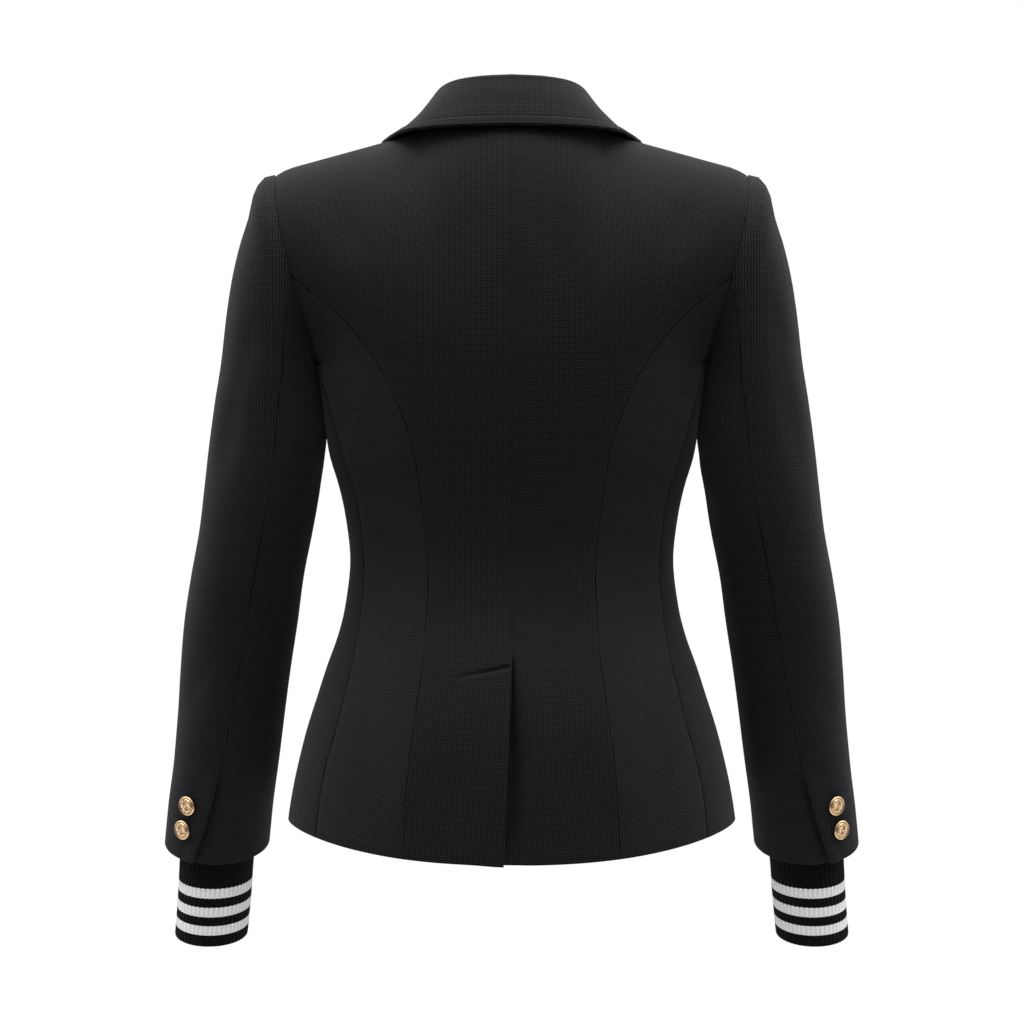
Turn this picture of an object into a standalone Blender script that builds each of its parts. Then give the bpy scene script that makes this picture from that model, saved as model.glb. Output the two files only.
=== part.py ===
"""A fitted single-breasted blazer, hollow and open as it is worn.

Lengths in this file are millimetres; add_node() writes metres.
+X is the wearer's left, -Y the front and +Z up. The origin is the middle of
the shoulder line at the nape. Every cloth piece is a closed wall between an
outer grid of points on the garment's surface and an inner grid one wall
thickness below it, so neighbouring pieces share the same normals at a seam.
"""
import math
from bisect import bisect_right

import bmesh
import bpy
import numpy as np

MM = 0.001

# ---------------------------------------------------------------- sizes
CLOTH = 2.0                # wall of the wool cloth with its fusing
SEAM_GAP = 0.3             # between two pieces that are sewn together
COLLAR_WALL = 2.4
LAPEL_WALL = 2.2
KNIT_WALL = 2.6

VIEW_DISTANCE = 3100.0     # the outline tables are read from this far behind
VIEW_HEIGHT = -331.0

UNDERARM_Z = -205.0
SIDE_HEM_Z = -585.0
BACK_HEM_DROP = 27.5       # the centre back hem below the side hem
FRONT_HEM_DROP = 12.0
SECTION_POWER = 2.3        # how square the horizontal sections are

NECK_HALF = 73.1
NECK_BACK_Y = 47.0
NECK_BACK_Z = -5.0
SHOULDER_TIP_X = 195.0
SHOULDER_SLOPE = 0.2742
SHOULDER_DIP = 3.0         # hollow just inside the sleeve head
ARMHOLE_TIP_Z = -52.0
ARMHOLE_BACK = 58.0        # how far the armhole swings to the back
ARMHOLE_FRONT = 56.0
SIDE_POINT = 0.012         # of the quarter: the blunt top of the side piece
PRINCESS_END_Z = -137.0    # where that seam shows running into the armhole
CHEST_SLANT = 0.2          # how straight the chest runs up to the shoulder

VENT_TOP_Z = -455.0
VENT_SPREAD = 6.4          # the upper lap has swung this far open at the hem
VENT_UNDERLAP = 34.0
VENT_TUCK = 2.8            # the under side of the vent lies this deep at its top
VENT_DROP = 4.0            # and this much deeper at the hem
FRONT_LAP = 18.0           # the front edge beyond the centre line
FRONT_REACH = 2.35         # the highest tau a lap is looked for at
FRONT_TUCK = 7.0           # the under front lies this deep below the upper
BREAK_Z = -305.0           # where the lapel starts to turn back

SLEEVE_BUTTON = 16.5
FRONT_BUTTON = 20.5
BUTTON_SEAT = 0.6          # the shank stands clear of the curved cloth
CUFF_RIBS = 48
RIB_DEPTH = 0.9
CUFF_TOP_RING = 18.45      # the sleeve ring inside which the cuff is sewn
CUFF_CLEAR = 1.2           # clear of the flats of the sleeve's wall

BLACK = (0.012, 0.012, 0.013, 1.0)
KNIT_BLACK = (0.010, 0.010, 0.011, 1.0)
GOLD = (0.68, 0.47, 0.26, 1.0)


class Table:
    """Rows of sizes under named columns, read smoothly between the rows."""

    def __init__(self, names, rows):
        self.names = names.split()
        self.rows = sorted(rows)
        self.keys = [row[0] for row in self.rows]

    def at(self, key, name):
        column = self.names.index(name)
        keys, last = self.keys, len(self.keys) - 1
        key = min(max(key, keys[0]), keys[-1])
        k = min(bisect_right(keys, key) - 1, last - 1)

        def slope(i):
            low, high = max(i - 1, 0), min(i + 1, last)
            return (self.rows[high][column] - self.rows[low][column]) / (keys[high] - keys[low])

        step = keys[k + 1] - keys[k]
        u = (key - keys[k]) / step
        return ((2 * u**3 - 3 * u**2 + 1) * self.rows[k][column]
                + (u**3 - 2 * u**2 + u) * step * slope(k)
                + (3 * u**2 - 2 * u**3) * self.rows[k + 1][column]
                + (u**3 - u**2) * step * slope(k + 1))


# Horizontal sections of the body below the armholes: half the width, and how
# far the cloth stands behind and in front of the side line.
TORSO = Table("z half_width back front", [
    (-205, 162.0, 102, 118),
    (-228, 159.0, 100, 126),
    (-255, 155.5, 97, 130),
    (-284, 151.0, 93, 128),
    (-309, 143.5, 89, 120),
    (-334, 138.0, 86, 110),
    (-371, 134.0, 84, 101),
    (-408, 138.0, 90, 102),
    (-433, 144.0, 98, 105),
    (-458, 153.0, 107, 109),
    (-483, 161.0, 115, 113),
    (-508, 169.0, 121, 117),
    (-533, 175.5, 125, 120),
    (-558, 181.0, 127, 122),
    (-583, 185.0, 128, 123),
    (-613, 188.0, 129, 124),
])

# The armhole's distance from the middle, on its back and front sides.
ARMHOLE = Table("z back_x front_x", [
    (-205, 162.0, 162.0), (-190, 163.5, 160.5), (-168, 170.5, 162.0), (-155, 175.0, 164.5),
    (-136, 180.5, 169.0), (-120, 184.5, 174.0), (-100, 189.0, 181.0), (-78, 193.0, 189.0),
    (-52, SHOULDER_TIP_X, SHOULDER_TIP_X),
])

# Seams of the back as they show in a straight view from behind.
PRINCESS_SEAM = Table("z x", [
    (-136, 182.5), (-155, 158.5), (-168, 143.5), (-180, 132.0), (-193, 121.5),
    (-211, 110.0), (-227, 101.0), (-248, 92.0), (-269, 84.5), (-288, 80.0),
    (-309, 77.0), (-345, 72.5), (-371, 70.0), (-404, 70.0), (-452, 73.5),
    (-493, 79.0), (-540, 85.0), (-620, 91.0),
])
SIDE_SEAM = Table("z x", [
    (-205, 162.0), (-240, 152.0), (-284, 140.0), (-320, 129.0), (-371, 123.0),
    (-405, 124.5), (-444, 130.0), (-483, 139.0), (-511, 146.0), (-540, 154.0),
    (-576, 160.5), (-620, 164.0),
])
# The free edge of a front: along the roll line, down the lap, round the hem.
FRONT_EDGE = Table("z x", [
    (-15, NECK_HALF), (-30, 70.0), (-62, 61.0), (-120, 42.0), (-200, 16.0),
    (-260, -3.5), (BREAK_Z, -FRONT_LAP), (-340, -FRONT_LAP), (-440, -FRONT_LAP),
    (-500, -13.0), (-545, 0.0), (-572, 18.0), (-586, 36.0), (-600, 62.0),
])

# Rings of a sleeve, from the armhole to the hem, as they show from behind:
# the point next to the body, the outer point, and the ring's place and depth.
SLEEVE = Table("ring inner_x inner_z outer_x outer_z y half_depth pitch", [
    (0, 162.3, -205.0, 195.3, -52.0, 0, 57.0, 0),
    (1, 162.8, -206.6, 199.2, -51.0, 0, 57.6, 0),
    (2, 163.2, -208.2, 207.5, -55.6, 0, 58.6, 0),
    (3, 163.6, -209.8, 214.2, -68.0, 0, 59.4, 0),
    (4, 164.0, -211.4, 218.2, -87.0, 0, 60.0, 0),
    (5, 163.3, -213.4, 225.5, -110.0, 0, 60.0, 0),
    (6, 162.6, -216.0, 231.8, -137.0, 0, 60.0, 0),
    (7, 161.7, -219.5, 236.6, -168.0, -1, 60.0, 0),
    (8, 160.4, -226.0, 241.0, -207.0, -1, 60.0, 0),
    (9, 158.1, -242.0, 246.2, -240.0, -2, 60.0, 0),
    (10, 153.8, -276.0, 251.2, -277.0, -3, 59.0, 0),
    (11, 158.3, -309.0, 254.8, -309.0, -4, 57.5, 2),
    (12, 165.0, -346.0, 259.2, -346.0, -7, 55.5, 6),
    (13, 172.4, -383.5, 266.0, -383.5, -13, 53.5, 10),
    (14, 177.4, -421.0, 271.6, -421.0, -21, 51.0, 13),
    (15, 183.0, -458.0, 274.6, -458.0, -30, 49.0, 15),
    (16, 188.0, -495.6, 276.9, -495.6, -39.5, 47.0, 16),
    (17, 192.6, -533.0, 280.3, -533.0, -49, 45.5, 17),
    (18, 197.6, -570.0, 284.6, -570.0, -58.5, 44.0, 20),
    (19, 201.0, -604.0, 287.9, -604.0, -67, 43.0, 23),
])
SLEEVE_END = 19
SLEEVE_HEAD_RINGS = 8      # over these the sleeve takes up the armhole's shape
# The turn, in degrees round a ring, of the seam along the back of the sleeve.
SLEEVE_SEAM = Table("ring turn", [
    (0, 74), (8, 70), (10, 79), (13, 81), (15, 85), (17, 94), (18, 101), (19, 112),
])
SLEEVE_FRONT_SEAM = -52.0

# Soft creases pressed into a sleeve: where, how long and wide, how deep.
SLEEVE_CREASES = [
    # ring, turn, half length in rings, half width in degrees, lean, depth
    (9.6, 128, 1.5, 16, 9, 3.0),
    (12.4, 52, 1.2, 18, -8, 2.5),
    (13.4, 300, 1.1, 22, 6, 3.0),
]

# The ribbed cuff below the sleeve, seen from behind: its two sides.
CUFF = Table("ring inner_x outer_x z y half_depth pitch", [
    (2, 212.5, 275.0, -604.0, -68.0, 31.0, 14),
    (3, 214.2, 275.8, -622.0, -71.5, 31.0, 14),
    (4, 216.0, 277.4, -650.0, -78.5, 31.0, 15),
    (5, 219.2, 279.4, -680.3, -86.0, 30.5, 17),
])

# Where the buttons show from behind on the left sleeve, and their height in front.
SLEEVE_BUTTONS = {"upper": (267.9, -574.4), "lower": (271.8, -594.3)}
FRONT_BUTTONS = {"upper": -336.0, "lower": -432.0}

# Half of the collar, from the centre back to its front end: the foot of the
# stand, the fold at the top, and the outer edge of the fall.
COLLAR = Table("station foot_x foot_y foot_z fold_x fold_y fold_z edge_x edge_y edge_z puff", [
    (0, 0.0, 47.0, -4.3, 0.0, 47.5, 25.5, 0.0, 71.5, -17.3, 1.8),
    (1, 27.0, 43.7, -5.6, 26.0, 44.5, 24.4, 36.0, 69.5, -17.8, 1.8),
    (2, 51.7, 33.2, -9.4, 46.0, 31.5, 22.0, 72.0, 57.5, -18.6, 0.0),
    (3, 66.8, 19.2, -12.8, 56.5, 14.5, 17.0, 93.0, 33.0, -18.8, -4.5),
    (4, 72.7, 0.0, -14.3, 60.0, -3.0, 8.5, 104.5, -1.0, -21.3, -6.5),
    (5, 69.5, -15.0, -20.0, 61.5, -23.0, -4.5, 110.0, -27.5, -27.5, -3.0),
    (6, 64.5, -33.0, -38.0, 60.0, -46.0, -24.5, 108.8, -54.5, -51.3, 0.5),
    (7, 56.0, -58.0, -66.0, 54.5, -72.0, -56.0, 103.5, -71.0, -75.3, 1.8),
])
COLLAR_END = 7
COLLAR_NOTCH = (82.0, -86.0)      # where collar and lapel part, in a front view
LAPEL_NOTCH = (82.5, -89.5)
LAPEL_NECK = (59.0, -69.0)
COLLAR_FOLD_RADIUS = 3.2
COLLAR_BAND = 0.8                 # the edge band stands this far proud

# The lapel's outer edge in a front view, from the break to its point.
LAPEL_EDGE = Table("z x", [
    (BREAK_Z, -14.0), (-270, 20.0), (-220, 55.0), (-160, 92.0), (-120, 110.0),
    (-98, 116.0),
])
LAPEL_POINT_Z = -98.0


# ---------------------------------------------------------------- small maths
def unit(vector):
    return vector / np.linalg.norm(vector)


def as_seen(point):
    """Where a point shows, measured in the plane y = 0, in the view from behind."""
    grow = VIEW_DISTANCE / (VIEW_DISTANCE - point[1])
    return point[0] * grow, VIEW_HEIGHT + (point[2] - VIEW_HEIGHT) * grow


def from_seen(x, z, y):
    """The point at depth y that shows at x, z in the view from behind."""
    shrink = (VIEW_DISTANCE - y) / VIEW_DISTANCE
    return np.array([x * shrink, y, VIEW_HEIGHT + (z - VIEW_HEIGHT) * shrink])


def ramp(value, start, end):
    """0 at start, 1 at end, with a soft turn at both."""
    u = min(max((value - start) / (end - start), 0.0), 1.0)
    return u * u * (3 - 2 * u)


def solve(function, low, high):
    """Where a rising function crosses zero, or the end it does not pass."""
    if function(high) <= 0:
        return high
    if function(low) >= 0:
        return low
    for _ in range(40):
        middle = (low + high) / 2
        if function(middle) < 0:
            low = middle
        else:
            high = middle
    return (low + high) / 2


# ---------------------------------------------------------------- body surface
def shoulder_z(x):
    z = -26.6 - (x - 113.5) * SHOULDER_SLOPE
    return z - SHOULDER_DIP * max(0.0, (x - 180.0) / 15.0) ** 2


def top_of_body(x, back):
    """The neckline or the shoulder seam, at a distance from the middle."""
    if x >= NECK_HALF:
        return np.array([x, 0.0, shoulder_z(x)])
    part = x / NECK_HALF
    if back:
        fall = shoulder_z(NECK_HALF) - NECK_BACK_Z
        return np.array([x, NECK_BACK_Y * math.sqrt(1 - part**2), NECK_BACK_Z + fall * part**2])
    return np.array([x, -0.2 * (NECK_HALF - x), shoulder_z(NECK_HALF)])


def armhole(turn):
    """A point of the left armhole; turn 0 is the underarm, 90 the back, 180 the tip."""
    angle = math.radians(turn)
    rise = (1 - math.cos(angle)) / 2
    z = UNDERARM_Z + (ARMHOLE_TIP_Z - UNDERARM_Z) * rise
    if math.sin(angle) >= 0:
        return np.array([ARMHOLE.at(z, "back_x"), ARMHOLE_BACK * math.sin(angle), z])
    return np.array([ARMHOLE.at(z, "front_x"), ARMHOLE_FRONT * math.sin(angle), z])


def arc(t):
    """Sine and cosine of a rounded quarter, t 0 at the centre and 1 at the side."""
    turn = math.pi / 2 * min(abs(t), 1.0)
    power = 2 / SECTION_POWER
    return math.sin(turn) ** power, max(math.cos(turn), 0.0) ** power


def hold(w, back):
    """How much of the chest's depth is left, w of the way up to the shoulder."""
    rise = (1 - math.cos(math.pi * w)) / 2
    round_part = math.sqrt(max(1 - rise**2, 0.0))
    return round_part if back else CHEST_SLANT * (1 - rise) + (1 - CHEST_SLANT) * round_part


def armhole_part(w, back):
    """The part of the underarm section's quarter that is inside the armhole."""
    w = min(max(w, 0.0), 0.9999)
    if w < 1e-9:
        return 1.0
    depth = TORSO.at(UNDERARM_Z, "back" if back else "front")
    swing = abs(armhole(180 * w if back else -180 * w)[1])
    part = min(swing / hold(w, back) / depth, 1.0)
    return 2 / math.pi * math.acos(part ** (SECTION_POWER / 2))


def row_x(t, w, back):
    reach = armhole_part(w, back)
    rim = armhole(180 * w if back else -180 * w)[0]
    return rim * arc(t * reach)[0] / arc(reach)[0]


def body(tau, v):
    """The left half of the body: tau 0 centre back, 1 side, 2 centre front;
    v 0 hem, 1 underarm level, 2 shoulder seam or neckline."""
    back = tau <= 1
    side = 1.0 if back else -1.0
    t = tau if back else 2 - tau
    depth_name = "back" if back else "front"
    if v <= 1:
        drop = BACK_HEM_DROP if back else FRONT_HEM_DROP
        hem = SIDE_HEM_Z - drop * max(math.cos(math.pi / 2 * min(abs(t), 1.0)), 0.0) ** 1.75
        z = hem + (UNDERARM_Z - hem) * v
        across, deep = arc(t)
        x = TORSO.at(z, "half_width") * across
        return np.array([math.copysign(x, t), side * TORSO.at(z, depth_name) * deep, z])
    w = min(v - 1, 1.0)
    rise = (1 - math.cos(math.pi * w)) / 2
    top = top_of_body(row_x(abs(t), 1.0, back), back)
    deep = arc(t * armhole_part(w, back))[1] * side * TORSO.at(UNDERARM_Z, depth_name)
    y = top[1] + (deep - top[1]) * hold(w, back)
    z = UNDERARM_Z + (top[2] - UNDERARM_Z) * rise
    return np.array([math.copysign(row_x(abs(t), w, back), t), y, z])


def body_normal(tau, v):
    """Outward normal, from differences that stay on this piece of the surface."""
    if v >= 2:
        at_neck = tau <= 1 and body(tau, 2)[0] < NECK_HALF - 1
        if not at_neck:
            return unit(np.array([SHOULDER_SLOPE, 0, 1]))
        v = 1.995
    d = 0.004
    low_tau, high_tau = tau - d, tau + d
    if v > 1:
        low_tau, high_tau = (min(low_tau, 1 - 2 * d), min(high_tau, 1)) if tau <= 1 else \
                            (max(low_tau, 1 + 1e-9), max(high_tau, 1 + 2 * d))
    low_v, high_v = max(v - d, 0.0), min(v + d, 1.995 if v > 1 else 1.0)
    if v == 1:
        low_v, high_v = 1 - 2 * d, 1
    across = body(high_tau, v) - body(low_tau, v)
    along = body(tau, high_v) - body(tau, low_v)
    return unit(np.cross(across, along) * -1)


def tau_at_seam(seam, v):
    """Where a seam of the back crosses the row v."""
    def beyond(tau):
        x, z = as_seen(body(tau, v))
        return x - seam.at(z, "x")
    return solve(beyond, 0.0, 1.0)


def princess_tau(v):
    """The princess seam, stopped where the side piece has run out to its point."""
    return min(tau_at_seam(PRINCESS_SEAM, v), 1 - SIDE_POINT)


def tau_at_x(x_of_z, v, low, high):
    """Where the front reaches a given distance from the centre line."""
    def inside(tau):
        point = body(tau, v)
        return x_of_z(point[2]) - point[0]
    return solve(inside, low, high)


def chest(x, z):
    """tau and v of the front's point at x, z of a front view."""
    def tau_on(v):
        return solve(lambda tau: x - body(tau, v)[0], 1.0 + 1e-6, 2.0)
    v = solve(lambda row: body(tau_on(row), row)[2] - z, 1.0, 2.0)
    return tau_on(v), v


def on_chest(x, z, height):
    tau, v = chest(x, z)
    v = min(v, 1.985)
    return body(tau, v) + body_normal(tau, v) * height


# ---------------------------------------------------------------- sleeve surface
def plain_ring(ring, turn):
    """The tilted ellipse that the sleeve's table gives."""
    def size(name):
        return SLEEVE.at(ring, name)
    y = size("y")
    inner = from_seen(size("inner_x"), size("inner_z"), y)
    outer = from_seen(size("outer_x"), size("outer_z"), y)
    middle, reach = (inner + outer) / 2, (outer - inner) / 2
    across = unit(reach)
    down = np.array([across[2], 0, -across[0]])
    pitch = math.radians(size("pitch"))
    angle = math.radians(turn)
    backward = math.cos(pitch) * np.array([0, 1, 0]) + math.sin(pitch) * down
    return middle - math.cos(angle) * reach + math.sin(angle) * size("half_depth") * backward


def sleeve(ring, turn):
    """A point of the left sleeve; turn 0 is next to the body, 90 the back.

    At its head the sleeve takes up the shape of the armhole."""
    point = plain_ring(ring, turn)
    if ring < SLEEVE_HEAD_RINGS:
        at_seam = armhole(turn) + np.array([SEAM_GAP, 0, 0])
        point = point + (at_seam - plain_ring(0, turn)) * ramp(ring, SLEEVE_HEAD_RINGS, 0.0)
    return point


def crease_depth(ring, turn):
    depth = 0.0
    for at_ring, at_turn, rings, degrees, lean, deep in SLEEVE_CREASES:
        along = (ring - at_ring) / rings
        across = ((turn - at_turn - lean * along + 180) % 360 - 180) / degrees
        depth += deep * math.exp(-(along**2) * 2 - across**2)
    return depth


def sleeve_normal(ring, turn):
    d = 0.02
    low, high = max(ring - d, 0.0), min(ring + d, SLEEVE_END)
    along = sleeve(high, turn) - sleeve(low, turn)
    across = sleeve(ring, turn + 0.5) - sleeve(ring, turn - 0.5)
    return unit(np.cross(along, across) * -1)


# ---------------------------------------------------------------- mesh makers
def add_node(name, verts, faces, colour, metallic=0.0, roughness=0.9, mirrored=False):
    """One named object with its own material, its faces turned outwards."""
    flip = np.array([-1, 1, 1]) if mirrored else np.array([1, 1, 1])
    mesh = bpy.data.meshes.new(name)
    mesh.from_pydata([tuple(np.asarray(v) * flip * MM) for v in verts], [], faces)
    bm = bmesh.new()
    bm.from_mesh(mesh)
    bmesh.ops.recalc_face_normals(bm, faces=bm.faces)
    bm.to_mesh(mesh)
    bm.free()
    material = bpy.data.materials.new(name + "_finish")
    material.use_nodes = True
    shader = material.node_tree.nodes["Principled BSDF"]
    shader.inputs["Base Color"].default_value = colour
    shader.inputs["Metallic"].default_value = metallic
    shader.inputs["Roughness"].default_value = roughness
    mesh.materials.append(material)
    mesh.shade_smooth()
    mesh.set_sharp_from_angle(angle=math.radians(40))
    piece = bpy.data.objects.new(name, mesh)
    bpy.context.scene.collection.objects.link(piece)
    return piece


def wall(outer, inner, closed=False, present=None):
    """Vertices and faces of the closed wall between two grids of points.

    Rows run along the piece and columns across it. closed joins the last
    column to the first, and present says which cells exist."""
    rows, columns = len(outer), len(outer[0])
    cells = {}
    for j in range(rows - 1):
        for i in range(columns if closed else columns - 1):
            if present is None or present(j, i):
                cells[j, i] = True
    verts, faces, index = [], [], {}

    def vertex(layer, j, i):
        i = i % columns
        if (layer, j, i) not in index:
            index[layer, j, i] = len(verts)
            verts.append((outer, inner)[layer][j][i])
        return index[layer, j, i]

    def rim(j0, i0, j1, i1):
        faces.append([vertex(0, j0, i0), vertex(0, j1, i1), vertex(1, j1, i1), vertex(1, j0, i0)])

    def length(a, b):
        return np.linalg.norm(outer[a[0]][a[1] % columns] - outer[b[0]][b[1] % columns])

    for j, i in cells:
        a, b, c, d = (j, i), (j, i + 1), (j + 1, i + 1), (j + 1, i)
        halves = [(a, b, c), (a, c, d)] if length(a, c) < length(b, d) else [(a, b, d), (b, c, d)]
        for half in halves:
            faces.append([vertex(0, *corner) for corner in half])
            faces.append([vertex(1, *corner) for corner in reversed(half)])
        left = (j, (i - 1) % columns) if closed else (j, i - 1)
        right = (j, (i + 1) % columns) if closed else (j, i + 1)
        if (j - 1, i) not in cells:
            rim(j, i + 1, j, i)
        if (j + 1, i) not in cells:
            rim(j + 1, i, j + 1, i + 1)
        if left not in cells:
            rim(j, i, j + 1, i)
        if right not in cells:
            rim(j + 1, i + 1, j, i + 1)
    return verts, faces


def draw_back(points, normals, column, sign, count=None):
    """Moves the first rows of an edge column half a seam gap into their piece."""
    edge = [row[column].copy() for row in points[:count]]
    for j, end in enumerate(edge):
        along = edge[min(j + 1, len(edge) - 1)] - edge[max(j - 1, 0)]
        side = unit(np.cross(unit(along), normals[j][column]))
        points[j][column] = end + side * sign * SEAM_GAP / 2


def below(points, normals, thickness):
    return [[p - n * thickness for p, n in zip(row, turned)] for row, turned in zip(points, normals)]


def turned_solid(profile, sides, centre, axis):
    """A lathe solid; profile rows are (height along the axis, radius)."""
    axis = unit(np.asarray(axis, float))
    aside = unit(np.cross(axis, [0.3, 0.2, 0.9]))
    other = np.cross(axis, aside)
    verts, faces = [], []
    for height, radius in profile:
        for k in range(sides):
            angle = 2 * math.pi * k / sides
            verts.append(centre + axis * height
                         + radius * (math.cos(angle) * aside + math.sin(angle) * other))
    for r in range(len(profile) - 1):
        for k in range(sides):
            n = (k + 1) % sides
            faces.append([r * sides + k, r * sides + n, (r + 1) * sides + n, (r + 1) * sides + k])
    faces.append(list(range(sides))[::-1])
    faces.append([(len(profile) - 1) * sides + k for k in range(sides)])
    return verts, faces


# ---------------------------------------------------------------- rows
def rows_between(low, high, count):
    return [low + (high - low) * k / count for k in range(count + 1)]


def princess_top():
    """The row where the princess seam runs out into the armhole."""
    def above(v):
        return as_seen(body(1.0, v))[1] - PRINCESS_END_Z
    return solve(above, 1.0, 1.9)


LOW_ROWS = [0.0, 0.03, 0.07, 0.14, 0.23, 0.32, 0.42, 0.52, 0.61, 0.70, 0.78, 0.85, 0.91, 0.96, 1.0]
PRINCESS_TOP = princess_top()
MID_ROWS = [1 + (PRINCESS_TOP - 1) * part for part in (0.32, 0.52, 0.70, 0.86, 1.0)]
HIGH_ROWS = rows_between(PRINCESS_TOP, 2.0, 7)[1:]


def vent_row():
    def past(v):
        return body(0.0, v)[2] - VENT_TOP_Z
    return solve(past, 0.0, 1.0)


def back_rows():
    """Rows of the back, with one exactly at the top of the vent."""
    top = vent_row()
    rows = sorted([row for row in LOW_ROWS if abs(row - top) > 0.03] + [top])
    return rows + MID_ROWS + HIGH_ROWS


# ---------------------------------------------------------------- body pieces
def make_back(name, mirrored):
    """A back with its half of the vent: the left laps over, the right under."""
    rows = back_rows()
    top = vent_row()
    columns = 8
    lap = [VENT_UNDERLAP, VENT_UNDERLAP / 2] if mirrored else []
    points, normals = [], []
    for v in rows:
        last = princess_tau(v) if v <= PRINCESS_TOP else 1.0
        first = 0.0
        if not mirrored and v < top:
            spread = VENT_SPREAD * (top - v) / top
            first = solve(lambda tau: body(tau, v)[0] - spread, 0.0, 1.0)
        taus = [-solve(lambda tau: body(tau, v)[0] - x, 0.0, 1.0) for x in lap]
        taus += [first + (last - first) * i / columns for i in range(columns + 1)]
        row, turned = [], []
        for tau in taus:
            point, normal = body(tau, v), body_normal(tau, v)
            if mirrored:
                depth = VENT_TUCK + VENT_DROP * max(top - v, 0.0) / top
                depth *= ramp(v, top + 0.05, top) * ramp(point[0], 16.0, 1.0)
                point = point - normal * depth
            row.append(point)
            turned.append(normal)
        points.append(row)
        normals.append(turned)
    edge, vent_end = len(lap), rows.index(top)
    for j in range(vent_end if mirrored else 0, len(rows)):
        points[j][edge] = points[j][edge] + np.array([SEAM_GAP / 2, 0, 0])
    draw_back(points, normals, -1, 1, len([v for v in rows if v <= PRINCESS_TOP]))

    def present(j, i):
        return i >= edge or j < vent_end
    trim_top_edge(points, True)
    verts, faces = wall(points, below(points, normals, CLOTH), present=present)
    return add_node(name, verts, faces, BLACK, mirrored=mirrored)


def trim_top_edge(points, back):
    """Opens half the seam gap at the shoulder, where front and back meet."""
    for i, point in enumerate(points[-1]):
        if point[0] >= NECK_HALF - 1:
            points[-1][i] = point + np.array([0, SEAM_GAP / 2 if back else -SEAM_GAP / 2, 0])


def make_side_back(name, mirrored):
    rows = back_rows()
    rows = [v for v in rows if v <= PRINCESS_TOP + 1e-9]
    columns = 4
    points, normals = [], []
    for v in rows:
        first = princess_tau(v)
        last = tau_at_seam(SIDE_SEAM, v) if v < 1 else 1.0
        taus = [first + (last - first) * i / columns for i in range(columns + 1)]
        points.append([body(tau, v) for tau in taus])
        normals.append([body_normal(tau, v) for tau in taus])
    draw_back(points, normals, 0, -1)
    draw_back(points, normals, -1, 1, len([v for v in rows if v <= 1]))
    verts, faces = wall(points, below(points, normals, CLOTH))
    return add_node(name, verts, faces, BLACK, mirrored=mirrored)


def front_push(point, mirrored):
    """How far the left front lies under the right one near the centre."""
    if mirrored:
        return 0.0
    return FRONT_TUCK * ramp(point[0], 66.0, 21.0) * ramp(point[2], -190.0, -240.0)


def front_edge_tau(v):
    return tau_at_x(lambda z: FRONT_EDGE.at(z, "x"), v, 1.0 + 1e-6, FRONT_REACH)


def front_grid(mirrored):
    rows, columns = back_rows(), 11
    points, normals = [], []
    for v in rows:
        first = tau_at_seam(SIDE_SEAM, v) if v < 1 else 1.0 + 1e-6
        last = front_edge_tau(v)
        taus = [first + (last - first) * i / columns for i in range(columns + 1)]
        row, turned = [], []
        for tau in taus:
            point, normal = body(tau, v), body_normal(tau, v)
            row.append(point - normal * front_push(point, mirrored))
            turned.append(normal)
        points.append(row)
        normals.append(turned)
    return rows, points, normals


def make_front(name, mirrored):
    rows, points, normals = front_grid(mirrored)
    draw_back(points, normals, 0, -1, len([v for v in rows if v <= 1]))
    trim_top_edge(points, False)
    verts, faces = wall(points, below(points, normals, CLOTH))
    return add_node(name, verts, faces, BLACK, mirrored=mirrored)


def make_lapel(name, mirrored):
    """A shell that lies on the front from its free edge outwards."""
    rows, columns = 12, 5
    bottom = solve(lambda v: body(2.0, v)[2] - (BREAK_Z + 6), 0.0, 1.0)
    corners = [LAPEL_NECK, LAPEL_NOTCH, (LAPEL_EDGE.at(LAPEL_POINT_Z, "x"), LAPEL_POINT_Z)]
    top_edge = []
    for i in range(columns + 1):
        x = corners[0][0] + (corners[2][0] - corners[0][0]) * i / columns
        z = np.interp(x, [corner[0] for corner in corners], [corner[1] for corner in corners])
        top_edge.append(chest(x, z)[1])
    outer, inner = [], []
    for j in range(rows + 1):
        part = j / rows
        out_row, in_row = [], []
        for i in range(columns + 1):
            q = i / columns
            top_v = top_edge[i]
            v = bottom + (top_v - bottom) * part
            first = front_edge_tau(v)
            edge = tau_at_x(lambda z: LAPEL_EDGE.at(z, "x"), v, 1.0 + 1e-6, FRONT_REACH)
            edge = min(edge, first - 0.02)
            tau = first + (edge - first) * q
            point, normal = body(tau, v), body_normal(tau, v)
            point = point - normal * front_push(point, mirrored)
            lift = 1.0 + 2.0 * math.exp(-q / 0.2) * ramp(part, 0.35, 0.7)
            in_row.append(point + normal * lift)
            out_row.append(point + normal * (lift + LAPEL_WALL))
        outer.append(out_row)
        inner.append(in_row)
    verts, faces = wall(outer, inner)
    return add_node(name, verts, faces, BLACK, mirrored=mirrored)


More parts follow.
